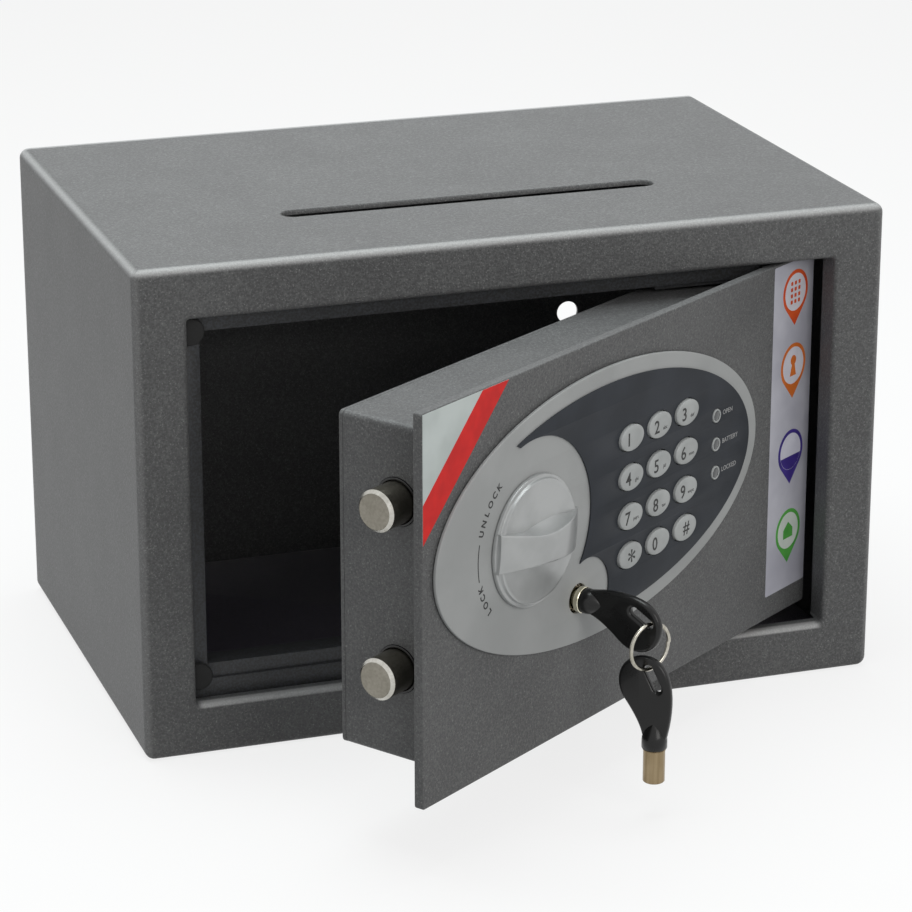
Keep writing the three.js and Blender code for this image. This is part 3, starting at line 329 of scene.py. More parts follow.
def mesh_of(name, parts, scale=0.001):
    """A mesh from (points, faces) parts given in millimetres, each facing outwards."""
    points, faces, start = [], [], 0
    for part_points, part_faces in parts:
        part_points = np.asarray(part_points, float)
        outward = volume_of(part_points - part_points.mean(0), part_faces) > 0
        faces += [[start + i for i in (f if outward else f[::-1])] for f in part_faces]
        points.append(part_points * scale)
        start += len(part_points)
    mesh = bpy.data.meshes.new(name)
    mesh.from_pydata(np.concatenate(points).tolist(), [], faces)
    return mesh


def piece(name, shape, material, body, slot, *stands_for, sharp=32):
    """Puts a shape, a mesh or a list of parts, into the scene, on its body, with its finish.
    Edges that turn by more than sharp degrees stay sharp."""
    mesh = mesh_of(name, shape) if isinstance(shape, list) else shape
    made = put(name, mesh)
    mesh.materials.append(material)
    mesh.shade_smooth()
    mesh.set_sharp_from_angle(angle=math.radians(sharp))
    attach(made, body)
    if stands_for:
        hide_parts(*stands_for)


def baked(made):
    """The mesh of an object as it shows in the scene. The object is taken away."""
    seen = made.evaluated_get(bpy.context.evaluated_depsgraph_get())
    mesh = bpy.data.meshes.new_from_object(seen)
    bpy.data.objects.remove(made)
    return mesh


def cut_out(mesh, *cutters):
    """The mesh less the cutters, which are meshes too."""
    body, *tools = [put("tool", data) for data in (mesh, *cutters)]
    for tool in tools:
        cut = body.modifiers.new("cut", "BOOLEAN")
        cut.operation, cut.solver, cut.object = "DIFFERENCE", "EXACT", tool
    made = baked(body)
    for tool in tools:
        bpy.data.objects.remove(tool)
    return made


def bar(centre, axis, radius, length, steps=48):
    """Round bar as a cutter, by its middle, its axis and its length, in millimetres."""
    turn = np.linspace(0, 2 * np.pi, steps, endpoint=False)
    ends = np.array([[-0.5], [0.5]]) * length
    shape = joined(ends, radius * np.cos(turn), radius * np.sin(turn))
    shape = np.roll(shape, axis, axis=-1) + np.asarray(centre, float)
    return mesh_of("bar", [skin(shape)])


width, height, front, back = 310, 200, -100, 100
sheet, roll, corner = 2, 3, 4
cabinet_box, way_box = (-width / 2, width / 2, 0, height), (-134, 134, 21.5, 179)
way_corner, way_fold, return_end, hinge_return_end = 1.5, 2, -92.8, -88


def cabinet_loop(inset):
    return loop(cabinet_box, corner - inset, inset=inset)


def way_loop(flare):
    return loop(way_box, way_corner + flare, inset=-flare)


def return_edge(outline, setback=0.0):
    """Depth of the fold-back's end: deeper on the hinge side, where it covers the pins."""
    hinged = outline[:, 0] > outline[:, 0].max() - 0.5
    return np.where(hinged, hinge_return_end, return_end) - setback


quarter = np.radians(np.linspace(0, 90, 9))
cabinet_levels = [level(outline, y) for outline, y in [
    (cabinet_loop(0.4), back),
    (cabinet_loop(0), back - 0.4),
    (cabinet_loop(0), front + roll + 0.5),
    *[(cabinet_loop(roll * (1 - math.cos(a))), front + roll * (1 - math.sin(a))) for a in quarter],
    (cabinet_loop(roll + 0.4), front),
    (way_loop(way_fold + 0.4), front),
    *[(way_loop(way_fold * (1 - math.sin(a))), front + way_fold * (1 - math.cos(a))) for a in quarter],
    (way_loop(0), front + way_fold + 0.4),
    (way_loop(0), return_edge(way_loop(0), 0.3)),
    (way_loop(0.3), return_edge(way_loop(0.3))),
    (way_loop(sheet), return_edge(way_loop(sheet))),
    (way_loop(sheet), front + sheet),
    (cabinet_loop(sheet + 1), front + sheet),
    (cabinet_loop(sheet), front + sheet + 1),
    (cabinet_loop(sheet), back),
]]
slot_end, slot_middle, slot_half = 79, -38.5, 5


def arc(x, z, radius, start, end, steps=8):
    """Part of a circle, from one angle in degrees to another. A pair for the radius, across
    and up, makes it an oval."""
    angle = np.radians(np.linspace(start, end, steps + 1))
    return (x, z) + radius * joined(np.cos(angle), np.sin(angle))


def circle(x, z, radius, steps=64):
    return arc(x, z, radius, 0, 360, steps)[:-1]


def slot_loop(flare, z):
    """The deposit slot's outline at a height: two half circles a slot's length apart."""
    right = arc(slot_end - slot_half, slot_middle, slot_half + flare, -90, 90, 16)
    left = right * (-1, -1) + (0, 2 * slot_middle)
    return np.insert(np.concatenate([right, left]), 2, z, 1)


slot_levels = [
    slot_loop(flare, height + z) for z, flare in [(-5, 0), (-0.6, 0), (-0.2, 0.2), (0.6, 1.0)]
]
anchor_x, anchor_z, anchor_radius = 94, 104, 5
base_holes = [bar((x, 0, sheet / 2), 2, anchor_radius, 4 * sheet) for x in (-anchor_x, anchor_x)]
slot_cutter = mesh_of("slot", [skin(slot_levels)])
cabinet_mesh = cut_out(mesh_of("cabinet", [skin(cabinet_levels, ring=True)]), slot_cutter, *base_holes)
piece("cabinet", cabinet_mesh, enamel, "cabinet", "shell_paint", "cabinet_shell")


# ---- Back panel ----
# Flat sheet set into the back of the box and welded round, with two holes through which
# the safe is bolted to a wall.
def flat_sheet(outlines, thickness, edge=0.0, rounds=2):
    """Flat sheet with its outer outline and holes, whose edges are rounded by edge. Gives
    points as (x, z, height above the sheet's back) and faces."""
    curve = bpy.data.curves.new("outline", "CURVE")
    curve.dimensions, curve.fill_mode = "2D", "BOTH"
    curve.extrude, curve.bevel_depth, curve.offset = thickness / 2 - edge, edge, -edge
    curve.bevel_resolution = rounds
    for outline in outlines:
        spline = curve.splines.new("POLY")
        spline.points.add(len(outline) - 1)
        flat = np.zeros((len(outline), 4))
        flat[:, :2], flat[:, 3] = outline, 1
        spline.points.foreach_set("co", flat.ravel())
        spline.use_cyclic_u = True
    return filled(curve, thickness / 2)


def filled(curve, lift):
    """Points and faces of a flat curve or a text, its doubled points merged."""
    work = bmesh.new()
    work.from_mesh(baked(put("drawn", curve)))
    bmesh.ops.remove_doubles(work, verts=work.verts, dist=0.0005)
    bmesh.ops.recalc_face_normals(work, faces=work.faces)
    points = np.array([v.co for v in work.verts])
    faces = [[v.index for v in face.verts] for face in work.faces]
    work.free()
    return points + (0, 0, lift), faces


def upright(points, y):
    """A flat sheet's points stood up with its back at depth y, its front towards -Y."""
    return points[:, [0, 2, 1]] * (1, -1, 1) + (0, y, 0)


def standing(outlines, thickness, y, edge=0.0, rounds=2):
    """A flat sheet stood up with its back at depth y: its points and faces."""
    points, faces = flat_sheet(outlines, thickness, edge, rounds)
    return upright(points, y), faces


panel_inset = 2.3
panel_outline = loop(cabinet_box, corner - panel_inset, inset=panel_inset)
anchor_holes = [circle(x, anchor_z, anchor_radius) for x in (-anchor_x, anchor_x)]
piece("back_sheet", [standing([panel_outline, *anchor_holes], sheet, back, 0.3)],
      enamel, "cabinet", "shell_paint", "back_panel")


# ---- Frame behind the opening ----
# Stop flange, sill rail, hinge bracket and the bent baffle below the slot: folded sheet,
# spot welded inside the box and painted a plain dark grey.
def surface(name, dark, light, cloud, rough, step=(0.3, 0.7), grain=None, relief=None, depth=0, **more):
    """A material whose colour goes from dark to light with the noise cloud, over the range
    of step, and whose roughness rises from rough[0] by rough[1] with the noise grain. The
    noise relief lifts it by depth metres. A noise is given by its size and detail, and one
    that isn't given is the one before it."""
    look = Finish(name)
    cloud = look.noise(*cloud)
    grain = look.noise(*grain) if grain else cloud
    relief = look.noise(*relief) if relief else grain
    if depth:
        more["Normal"] = look.bump(relief, depth)
    return look.coat(
        Base_Color=look.blend(cloud.step(*step) if step else cloud, shade(dark), shade(light)),
        Roughness=rough[0] + rough[1] * grain,
        **more,
    )


frame_material = surface(
    "dark_frame_paint", 50, (68, 70, 74), (0.0009, 3), (0.45, 0.2), (0.35, 0.7),
    depth=0.00012, Metallic=0.2,
)


def softened(node, edge):
    """Mesh of a CAD node with its loose triangles merged, its flat faces whole and its sharp
    edges rounded by edge millimetres."""
    work = bmesh.new()
    work.from_mesh(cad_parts[node].data)
    bmesh.ops.remove_doubles(work, verts=work.verts, dist=1e-6)
    bmesh.ops.dissolve_limit(work, angle_limit=math.radians(1), verts=work.verts, edges=work.edges)
    mesh = bpy.data.meshes.new(node)
    work.to_mesh(mesh)
    work.free()
    tool = put("tool", mesh)
    bevel = tool.modifiers.new("edge", "BEVEL")
    bevel.width, bevel.segments, bevel.limit_method = edge * 0.001, 2, "ANGLE"
    bevel.angle_limit = math.radians(40)
    made = baked(tool)
    made.name = node
    return made


for node, name in [("stop_flange", "stop_edge"), ("sill_rail", "sill_angle"),
                   ("hinge_bracket", "hinge_angle"), ("anti_fish_baffle", "slot_baffle")]:
    piece(name, softened(node, 0.25), frame_material, "cabinet", "frame_paint", node)


# ---- Felt on the floor ----
# Cut felt glued to the floor of the safe, a purple-grey. Its face is a little uneven and
# its fibres stand up.
felt = Finish("felt")
fibre = felt.noise(0.0004, 4)
tuft = felt.noise(0.004, 3)
felt_material = felt.coat(
    Base_Color=felt.blend(fibre.step(0.3, 0.7), shade((64, 58, 74)), shade((112, 104, 124))),
    Roughness=0.9 + 0.08 * tuft,
    Normal=felt.bump(0.7 * fibre + 0.3 * tuft, 0.0006),
    Sheen_Weight=0.3,
)
mat_low, mat_high, mat_edge = 2.3, 4.3, 0.6
mat_sides = (-151, 151, -88.9, 96)


def mat_loop(inset, z):
    outline = loop(mat_sides, 1.5, 4, 0.3, inset)
    return joined(outline[:, 0], outline[:, 1], z)


mat_levels = [
    mat_loop(0, mat_low), mat_loop(0, mat_high - mat_edge),
    mat_loop(mat_edge / 3, mat_high - mat_edge / 4), mat_loop(mat_edge, mat_high),
]
piece("felt_mat", [skin(mat_levels)], felt_material, "cabinet", "felt", "floor_mat", sharp=50)


# ---- Bumpers ----
# Two rubber bumpers stuck to the stop flange, which the closing door meets. Each is a
# disc with one flat side against the fold of the opening.
rubber_material = surface(
    "rubber", 17, 30, (0.002, 3), (0.7, 0.15), None, relief=(0.0003, 2), depth=0.00003,
)
bumper_x, bumper_radius, bumper_flat_x, bumper_back = -131.5, 5.5, -133.8, -92.8
flat_angle = math.degrees(math.acos((bumper_flat_x - bumper_x) / bumper_radius))
for name, z in [("upper", 172.7), ("lower", 31.0)]:
    outline = arc(bumper_x, z, bumper_radius, -flat_angle, flat_angle, 40)
    piece(f"{name}_bumper", [standing([outline], 2.4, bumper_back, 0.7, 3)],
          rubber_material, "cabinet", "rubber", f"bumper_{name}")


# ---- Hinge ----
# Two short zinc-plated pins, one at each end of the door pan, and a washer that carries
# the door's weight on the sill rail.
def metal(name, dark, light, rough, size=0.0008, depth=0.00001, brush=(1, 1, 1)):
    """Bare or plated metal, with fine scratches that run along the axis brushed least."""
    look = Finish(name)
    scratch = look.noise(size, 3, look.stretched(*brush))
    cloud = look.noise(0.012, 2)
    return look.coat(
        Base_Color=look.blend((0.6 * scratch + 0.4 * cloud).step(0.3, 0.7), shade(dark), shade(light)),
        Roughness=rough * 0.75 + rough * 0.5 * scratch,
        Metallic=1.0,
        Normal=look.bump(scratch, depth),
    )


zinc = metal("zinc_plate", 140, (186, 187, 192), 0.36)
for node, name in [("hinge_pin_upper", "upper_pin"), ("hinge_pin_lower", "lower_pin")]:
    piece(name, softened(node, 0.3), zinc, "door", "zinc", node)
piece("hinge_washer", softened("hinge_spacer", 0.3), zinc, "cabinet", "zinc", "hinge_spacer")


# ---- Door ----
# A 4 mm steel plate in front and a pan of folded sheet behind it, in the same hammered
# enamel. It is drawn closed, in millimetres, and then turned on its pins to stand ajar.
door_angle = math.radians(34.5)
pin_line = np.array([104, -87.5, 0])


def spun(points, angle):
    """Points turned by an angle in radians, from their first axis towards their second."""
    turn = np.eye(points.shape[-1])
    turn[0, :2] = math.cos(angle), math.sin(angle)
    turn[1, :2] = -math.sin(angle), math.cos(angle)
    return points @ turn


def ajar(parts):
    """Parts drawn on the closed door, turned about the hinge pins to where it stands."""
    return [(spun(points - pin_line, door_angle) + pin_line, faces) for points, faces in parts]


def door_piece(name, parts, *rest, **more):
    """A piece of the door, drawn on the closed door."""
    piece(name, ajar(parts), *rest, **more)


plate_left, plate_right, plate_low, plate_high = -132.3, 131, 26, 177.7
plate_front, plate_back = -99.5, -95.5
knob_x, knob_z, lock_x, lock_z = -68.0, 112.3, -37.4, 79.5
spindle_hole, lock_hole = 6.3, 9.3
window = (-15.8, 62.1, 78.7, 143.6)
plate_outlines = [
    loop((plate_left, plate_right, plate_low, plate_high), 1.2, 4, 0.3),
    circle(knob_x, knob_z, spindle_hole),
    circle(lock_x, lock_z, lock_hole),
    loop(window, 3.5, 4, 0.3),
]
door_piece("plate", [standing(plate_outlines, plate_back - plate_front, plate_back, 0.5, 3)],
           enamel, "door", "shell_paint", "door_plate")

pan_left, pan_low, pan_high = -123.8, 39, 168.5
pan_box = (pan_left, 120, pan_low, pan_high)
pan_front, pan_seam, pan_back, pan_sheet = -95.2, -57.3, -55.5, 1.5
bolt_y, bolt_places = -81.8, (139.0, 74.5)
bush_hole, pin_hole = 9.4, 3.3


def pan_loop(inset):
    return loop(pan_box, 2.2 - inset * 0.8, 5, 0.3, inset)


pan_levels = [
    level(pan_loop(0.1), pan_front), level(pan_loop(0), pan_front + 0.2),
    level(pan_loop(0), pan_seam - 0.2), level(pan_loop(0.2), pan_seam),
    level(pan_loop(pan_sheet), pan_seam), level(pan_loop(pan_sheet), pan_front),
]
pan_mesh = mesh_of("pan", [skin(pan_levels, ring=True)], 1)
pan_cutters = [bar((pan_left, bolt_y, z), 0, bush_hole, 6) for z in bolt_places]
pan_cutters += [bar((*pin_line[:2], z), 2, pin_hole, 6) for z in (pan_low, pan_high)]
for cutter in pan_cutters:
    cutter.transform(Matrix.Scale(1000, 4))
pan_cut = cut_out(pan_mesh, *pan_cutters)
pan_cut.transform(
    Matrix.Scale(0.001, 4)
    @ Matrix.Translation(Vector(pin_line))
    @ Matrix.Rotation(door_angle, 4, "Z")
    @ Matrix.Translation(-Vector(pin_line))
)
piece("pan", pan_cut, enamel, "door", "shell_paint", "door_pan")

bay = (20.0, 72.0, 63.0, 122.2)
reset_x, reset_z, reset_hole = 102.0, 146.5, 3.3
cover_outlines = [
    loop(pan_box, 2, 5, 0.3),
    loop(bay, 1.5, 4, 0.3),
    circle(reset_x, reset_z, reset_hole, 40),
]
door_piece("pan_cover", [standing(cover_outlines, pan_back - pan_seam, pan_back, 0.4)],
           enamel, "door", "shell_paint", "door_back_cover")


# ---- Screws of the back cover ----
# Six zinc-plated pan-head screws with a cross recess. They hold the cover to the folded
# edge of the pan, and with it the works inside the door.
def from_back(points, x, y, z):
    """Points as (across, up, height) set on the door's back, their height towards +Y."""
    return points[..., [0, 2, 1]] + (x, y, z)


def screw_head(radius, rise, steps=32, rings=12):
    """Low dome: the height falls with the square of the distance from the middle. Two
    crossed slots, deepest in the middle, are pressed into it."""
    turn = np.linspace(0, 2 * np.pi, steps, endpoint=False)[None, :]
    out = np.linspace(0.04, 1, rings)[:, None] * radius
    across, up = out * np.cos(turn), out * np.sin(turn)
    dome = rise * (1 - 0.7 * (out / radius) ** 2)
    narrow = np.minimum(np.abs(across), np.abs(up))
    recess = np.clip(1 - narrow / (0.16 * radius), 0, 1) * np.clip(1 - out / (0.62 * radius), 0, 1)
    top = joined(across, up, dome - 1.6 * rise * recess)
    foot = top[-1:].copy()
    foot[..., 2] = -0.2
    return skin(np.concatenate([top, foot]))


screw_points, screw_faces = screw_head(3.0, 1.5)
screw_places = [(x, z) for z in (162, 46) for x in (-116, -2, 112)]
for index, (x, z) in enumerate(screw_places):
    head = (from_back(screw_points, x, pan_back, z), screw_faces)
    door_piece(f"cover_screw_{index + 1}", [head], zinc, "door", "zinc")


# ---- Battery bay, lid and reset button ----
# Four cells in a black moulded tray behind a lift-off lid, and a red button that sets a
# new code. They are reached from the back of the open door.
def moulded(name, dark, light, rough):
    """Moulded plastic with a fine spark-eroded grain."""
    look = Finish(name)
    grain = look.noise(0.0006, 3)
    cloud = look.noise(0.02, 2)
    return look.coat(
        Base_Color=look.blend((0.5 * grain + 0.5 * cloud).step(0.3, 0.7), shade(dark), shade(light)),
        Roughness=rough * 0.85 + rough * 0.3 * grain,
        Normal=look.bump(grain, 0.00003),
    )


def turned(profile, steps=48):
    """Profile of (radius, height) points carried once round the height's axis, as points
    (across, up, height) in loops."""
    profile = np.asarray(profile, float)
    turn = np.linspace(0, 2 * np.pi, steps, endpoint=False)
    out, rise = profile[:, :1], profile[:, 1:]
    return joined(out * np.cos(turn), out * np.sin(turn), rise)


black_plastic = moulded("black_plastic", 18, 32, 0.45)
red_plastic = moulded("red_plastic", (146, 26, 22), (176, 40, 34), 0.4)
cell_material = surface(
    "cell_wrap", 28, (168, 130, 52), (0.05, 1), (0.3, 0.1), (0.47, 0.5), grain=(0.003, 2),
    Metallic=0.6,
)


def dress(node, material):
    """A CAD node whose shape is right keeps it and gets its finish."""
    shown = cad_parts[node]
    shown.data.materials.clear()
    shown.data.materials.append(material)


dress("battery_tray", black_plastic)
for index in range(1, 5):
    piece(f"cell_{index}", softened(f"battery_{index}", 0.4), cell_material, "door", "cell_wrap",
          f"battery_{index}")

lid_gap, lid_front = 0.3, -57.0
rib_places, rib_half, rib_low, rib_high = np.arange(26, 46, 3.2), 0.6, 78, 107
lid_tab, tab_front, tab_thickness = (57.2, 70.2, 85.2, 100), -54, 2.4
lid_parts = [standing([loop(bay, 1.2, 4, 0.3, lid_gap)], pan_back - lid_front, pan_back, 0.3)]
for x in rib_places:
    rib = loop((x - rib_half, x + rib_half, rib_low, rib_high), rib_half - 0.01, 3, 0.1)
    lid_parts.append(standing([rib], 0.8, pan_back + 0.6, 0.25))
lid_parts.append(standing([loop(lid_tab, 1, 4, 0.3)], tab_thickness, tab_front, 0.4))
door_piece("battery_lid", lid_parts, black_plastic, "battery_lid", "black_plastic", "battery_cover")

reset_profile = [
    (0.3, 10.0), (2.4, 9.9), (2.85, 9.5), (3.0, 9.0), (3.0, 7.5), (4.5, 7.5), (4.5, 6.0), (3.0, 6.0),
    (3.0, 0.2), (0.3, 0),
]
door_piece("reset_cap", [skin(from_back(turned(reset_profile), reset_x, -64.0, reset_z))],
           red_plastic, "reset", "red_plastic", "reset_button")


# ---- Works inside the door ----
# Board, solenoid, carriage and crank stay hidden in the pan. Their solids are dressed in
# the metals and plastics that they are made of.
board_material = surface(
    "circuit_board", (24, 78, 48), (40, 112, 68), (0.003, 4), (0.45, 0.15), (0.48, 0.53),
)
brass = metal("brass", (150, 122, 66), (196, 166, 98), 0.3)
nickel = metal("nickel_plate", (168, 160, 144), (214, 208, 196), 0.2)
dress("control_board", board_material)
dress("knob_bush", brass)
for node in (
    "carriage_guide", "solenoid_body", "knob_spindle", "knob_cam", "bolt_carriage", "lock_lever",
):
    dress(node, zinc)
for node in ("solenoid_plunger", "lock_housing", "lock_plug"):
    dress(node, nickel)


# ---- Fascia ----
# Oval moulding of grey plastic clipped to the door plate. A dark printed film covers its
# right part, cut away in a round lobe about the knob and a small one about the lock.
fascia_x, fascia_z, fascia_half_x, fascia_half_z = -20.0, 113.8, 106.6, 52.8
fascia_back, fascia_front, film_back, film_front = -99.8, -101.3, -101.6, -102.0
film_border = 6.4
key_half_x, key_half_z, key_room = 7.7, 5.1, 0.4
key_columns, key_rows = -4.6 + 19.1 * np.arange(3), 135.0 - 15.9 * np.arange(4)
key_places = [(x, z) for z in key_rows for x in key_columns]
lamp_x, lamp_rows, lamp_radius = 55.8, 127.5 - 11.85 * np.arange(3), 2.8
shaft_hole, plug_hole = 4.3, 5.8
key_hole = (key_half_x + key_room, key_half_z + key_room)
key_holes = [circle(x, z, key_hole, 48) for x, z in key_places]
key_holes += [circle(lamp_x, z, lamp_radius + 0.3, 28) for z in lamp_rows]
fascia_material = surface(
    "fascia_grey", (168, 170, 170), (178, 180, 180), (0.03, 3), (0.42, 0.1),
    grain=(0.0005, 2), depth=0.00002, Specular_IOR_Level=0.3,
)
fascia_outlines = [
    circle(fascia_x, fascia_z, (fascia_half_x, fascia_half_z), 160),
    circle(knob_x, knob_z, shaft_hole, 32),
    circle(lock_x, lock_z, plug_hole, 48),
    *key_holes,
]
door_piece("fascia", [standing(fascia_outlines, fascia_back - fascia_front, fascia_back, 0.45, 4)],
           fascia_material, "door", "fascia_grey", "fascia_panel")


def lobe_edge():
    """The film's outline: along the inner oval from the tip clockwise to below the lock,
    then back round the lock's lobe and the knob's lobe, which taper to the tip."""
    oval = (fascia_x, fascia_z, (fascia_half_x - film_border, fascia_half_z - film_border))
    knob_lobe, lock_lobe = (-67.0, 115.0, 36.4), (-32.5, 80.0, 14.4)
    top = arc(*oval, 125.5, 0, 110)
    bottom = arc(*oval, 0, -93.2, 80)[1:]
    lock_side = arc(*lock_lobe, -58, 110, 36)
    knob_side = arc(*knob_lobe, -35.5, 104.5, 80)
    return np.concatenate([top, bottom, lock_side, knob_side])


film_material = surface(
    "keypad_film", (34, 38, 44), (44, 48, 55), (0.02, 3), (0.45, 0.12),
    grain=(0.0004, 2), depth=0.00001, Specular_IOR_Level=0.25,
)
door_piece("film", [standing([lobe_edge(), *key_holes], film_back - film_front, film_back, 0.1, 1)],
           film_material, "door", "film", "keypad_film")


# ---- Keys ----
# Twelve oval keys of pale grey rubber with a low crown, each with its figure printed to
# the left of its middle in dark ink.
key_material = surface(
    "key_grey", (178, 181, 181), (192, 195, 195), (0.01, 3), (0.42, 0.12),
    grain=(0.0005, 2), depth=0.000015, Specular_IOR_Level=0.3,
)
dark_ink, pale_ink = [
    surface(name, dark, light, (0.0006, 2), (0.5, 0.1), None, grain=(0.001, 2))
    for name, dark, light in [("dark_ink", 28, 44), ("pale_ink", 168, 188)]
]
key_face = film_front - 1.3


def letters(text, tall, weight=0.0):
    """Flat lettering, tall millimetres high, as points (across, up, height) about the
    middle of the text, and its faces. Its strokes are weight millimetres bolder."""
    curve = bpy.data.curves.new("letters", "FONT")
    curve.body, curve.size = text, tall / 0.73
    curve.align_x, curve.align_y = "CENTER", "CENTER"
    curve.extrude, curve.resolution_u, curve.offset = 0.03, 4, weight / 2
    return filled(curve, 0.03)


def printed(text, tall, x, z, y, degrees=0.0, weight=0.0):
    """Lettering on the door's front at depth y, turned anticlockwise."""
    points, faces = letters(text, tall, weight)
    points = points - (np.r_[(points[:, :2].min(0) + points[:, :2].max(0)) / 2, 0])
    return upright(spun(points, math.radians(degrees)) + (x, z, 0), y), faces


def key_cap():
    """Oval loops from the foot to the face: straight sides, a quarter circle round the
    edge, and a face that rises by a quarter sine to a flat middle."""
    turn = np.linspace(0, 2 * np.pi, 56, endpoint=False)
    edge = np.radians(np.linspace(0, 90, 6))[1:]
    rise = np.linspace(0, 1, 5)[1:]
    inset = np.concatenate([[0, 0], rounding * (1 - np.cos(edge)), rounding + crown_width * rise])
    height = np.concatenate([
        [0, key_tall - swell - rounding], key_tall - swell - rounding * (1 - np.sin(edge)),
        key_tall - swell + swell * np.sin(rise * np.pi / 2),
    ])
    inset, height = inset[:, None], height[:, None]
    return joined((key_half_x - inset) * np.cos(turn), (key_half_z - inset) * np.sin(turn), height)


key_tall, rounding, swell, crown_width = 3.8, 0.55, 0.2, 1.3
figure_tall, star_tall, figure_weight, figure_left = 5.4, 8.5, 0.16, 3.0
group_tall, group_right, group_drop = 1.5, 2.6, 1.4
figures = "123456789*0#"
figure_groups = ["", "abc", "def", "ghi", "jkl", "mno", "pqrs", "tuv", "wxyz", "", "", ""]
for (x, z), figure, group in zip(key_places, figures, figure_groups):
    label = {"*": "star", "#": "hash"}.get(figure, figure)
    points, faces = skin(key_cap() + (x, z, 0))
    door_piece(f"cap_{label}", [(upright(points, key_face + key_tall), faces)],
               key_material, f"key_{label}", "key_grey", f"key_{label}")
    tall = star_tall if label == "star" else figure_tall
    figure_x = x if label in ("star", "hash") else x - figure_left
    marks = [printed(figure, tall, figure_x, z, key_face, 0, figure_weight)]
    if group:
        marks.append(printed(group, group_tall, x + group_right, z - group_drop, key_face))
    door_piece(f"figure_{label}", marks, dark_ink, f"key_{label}", "key_grey")


# ---- Status lamps ----
# Three small lenses of smoky plastic in a column, each set in a moulded collar, with a
# plain word printed beside it on the film.
lens_material = surface(
    "lamp_lens", (58, 60, 62), (78, 81, 83), (0.002, 2), (0.15, 0.1), None, grain=(0.001, 2),
    Coat_Weight=0.5,
)
lens_profile = [
    (0.3, -3.2), (2.0, -3.2), (2.05, -3.0), (2.05, 0.1), (1.9, 0.3), (1.4, 0.42), (0.8, 0.48),
    (0.15, 0.5),
]
collar_profile = [
    (2.05, -3.2), (2.8, -3.2), (2.8, 0.1), (2.72, 0.3), (2.5, 0.4), (2.2, 0.3), (2.05, 0.1),
]
word_tall, word_gap, word_lift = 2.0, 4.6, 0.2
for index, (z, word) in enumerate(zip(lamp_rows, ("OPEN", "BATTERY", "LOCKED"))):
    for name, profile, ring, material, nodes in [
        ("lamp_collar", collar_profile, True, key_material, ()),
        ("lamp", lens_profile, False, lens_material, (f"status_lamp_{index + 1}",)),
    ]:
        points, faces = skin(turned(profile, 40) + (lamp_x, z, 0), ring)
        door_piece(f"{name}_{index + 1}", [(upright(points, film_front), faces)],
                   material, "door", "lamp_lens", *nodes)
    word_points, _ = letters(word, word_tall)
    half = np.ptp(word_points[:, 0]) / 2
    label = printed(word, word_tall, lamp_x + word_gap + half, z + word_lift, film_front)
    door_piece(f"lamp_word_{index + 1}", [label], pale_ink, "door", "film")


# ---- Knob ----
# Silver-painted moulding: a low round dish with a stepped rim, and a waisted bar right
# across it whose face is domed. It turns a quarter turn to draw the bolts.
silver_material = surface(
    "knob_silver", (166, 168, 168), (180, 182, 182), (0.015, 3), (0.26, 0.1),
    grain=(0.0004, 2), depth=0.000006,
    Metallic=0.35, Specular_IOR_Level=0.5, Coat_Weight=0.2, Coat_Roughness=0.15,
)
knob_back = -101.6
dish_profile = [
    (0.5, 0), (25.1, 0), (25.4, 0.2), (25.4, 1.2), (25.2, 1.6), (24.8, 1.75), (24.3, 1.8), (24.1, 2.0),
    (24.0, 2.6), (23.75, 3.1), (23.3, 3.3), (22.7, 3.25), (21.5, 3.15), (18, 3.2), (14, 3.4), (9, 3.7),
    (4, 3.9), (0.4, 3.9),
]
bar_half, bar_peak, bar_end, bar_foot, bar_lean = 24.3, 10.4, 3.0, 1.2, math.radians(-5)


def grip(columns=90):
    """The bar as slices along its length. Each slice runs from the foot up a flank, round
    an edge, across the face, round the other edge and down. The face's height follows a
    parabola along the bar and its height across is least in the middle. The upper flank
    leans out most to the right of the middle, and hollows into the dish."""
    along = np.sin(np.linspace(-np.pi / 2, np.pi / 2, columns))
    x = along * bar_half
    peak = bar_end + (bar_peak - bar_end) * (1 - along ** 2)
    half = 6.1 + 1.8 * along ** 2
    low, high = -half, half - 0.9 * np.exp(-(((x + 4) / 10) ** 2)) + 0.6 * along
    lean_out = 5.0 * np.exp(-(((x - 4) / 13) ** 4)) * (peak - bar_end) / (bar_peak - bar_end) + 0.1
    edge = np.minimum(0.7, (peak - bar_foot) * 0.3)
    rows = [(low - 0.3, bar_foot)]
    bend = np.radians(np.linspace(0, 90, 6))
    rows += [(low + edge * (1 - math.cos(b)), peak - edge * (1 - math.sin(b))) for b in bend]
    for share in (0.2, 0.4, 0.6, 0.8):
        across = low + edge + (high - low - 2 * edge) * share
        rows.append((across, peak + 0.3 * math.sin(math.pi * share)))
    rows += [(high - edge * (1 - math.cos(b)), peak - edge * (1 - math.sin(b))) for b in bend[::-1]]
    for share in np.linspace(0.15, 1, 8):
        drop = (peak - edge - bar_foot) * (1 - (1 - share) ** 1.6)
        rows.append((high + lean_out * share, peak - edge - drop))
    return spun(np.stack([joined(x, across, up) for across, up in rows], 1), bar_lean)


def on_knob(part):
    """A part drawn as (across, up, height) set on the knob."""
    points, faces = part
    return upright(points + (knob_x, knob_z, 0), knob_back), faces


door_piece("knob_body", [on_knob(skin(turned(dish_profile, 96))), on_knob(skin(grip()))],
           silver_material, "knob", "knob_silver", "knob", sharp=38)


# ---- Marks round the knob ----
# Printed on the fascia: an arc to the left of the knob, with the two plain words that say
# which way it turns.
mark_radius, line_start, line_end, line_half = 33.3, 167, 192, 0.25
letter_tall, letter_weight = 2.7, 0.22


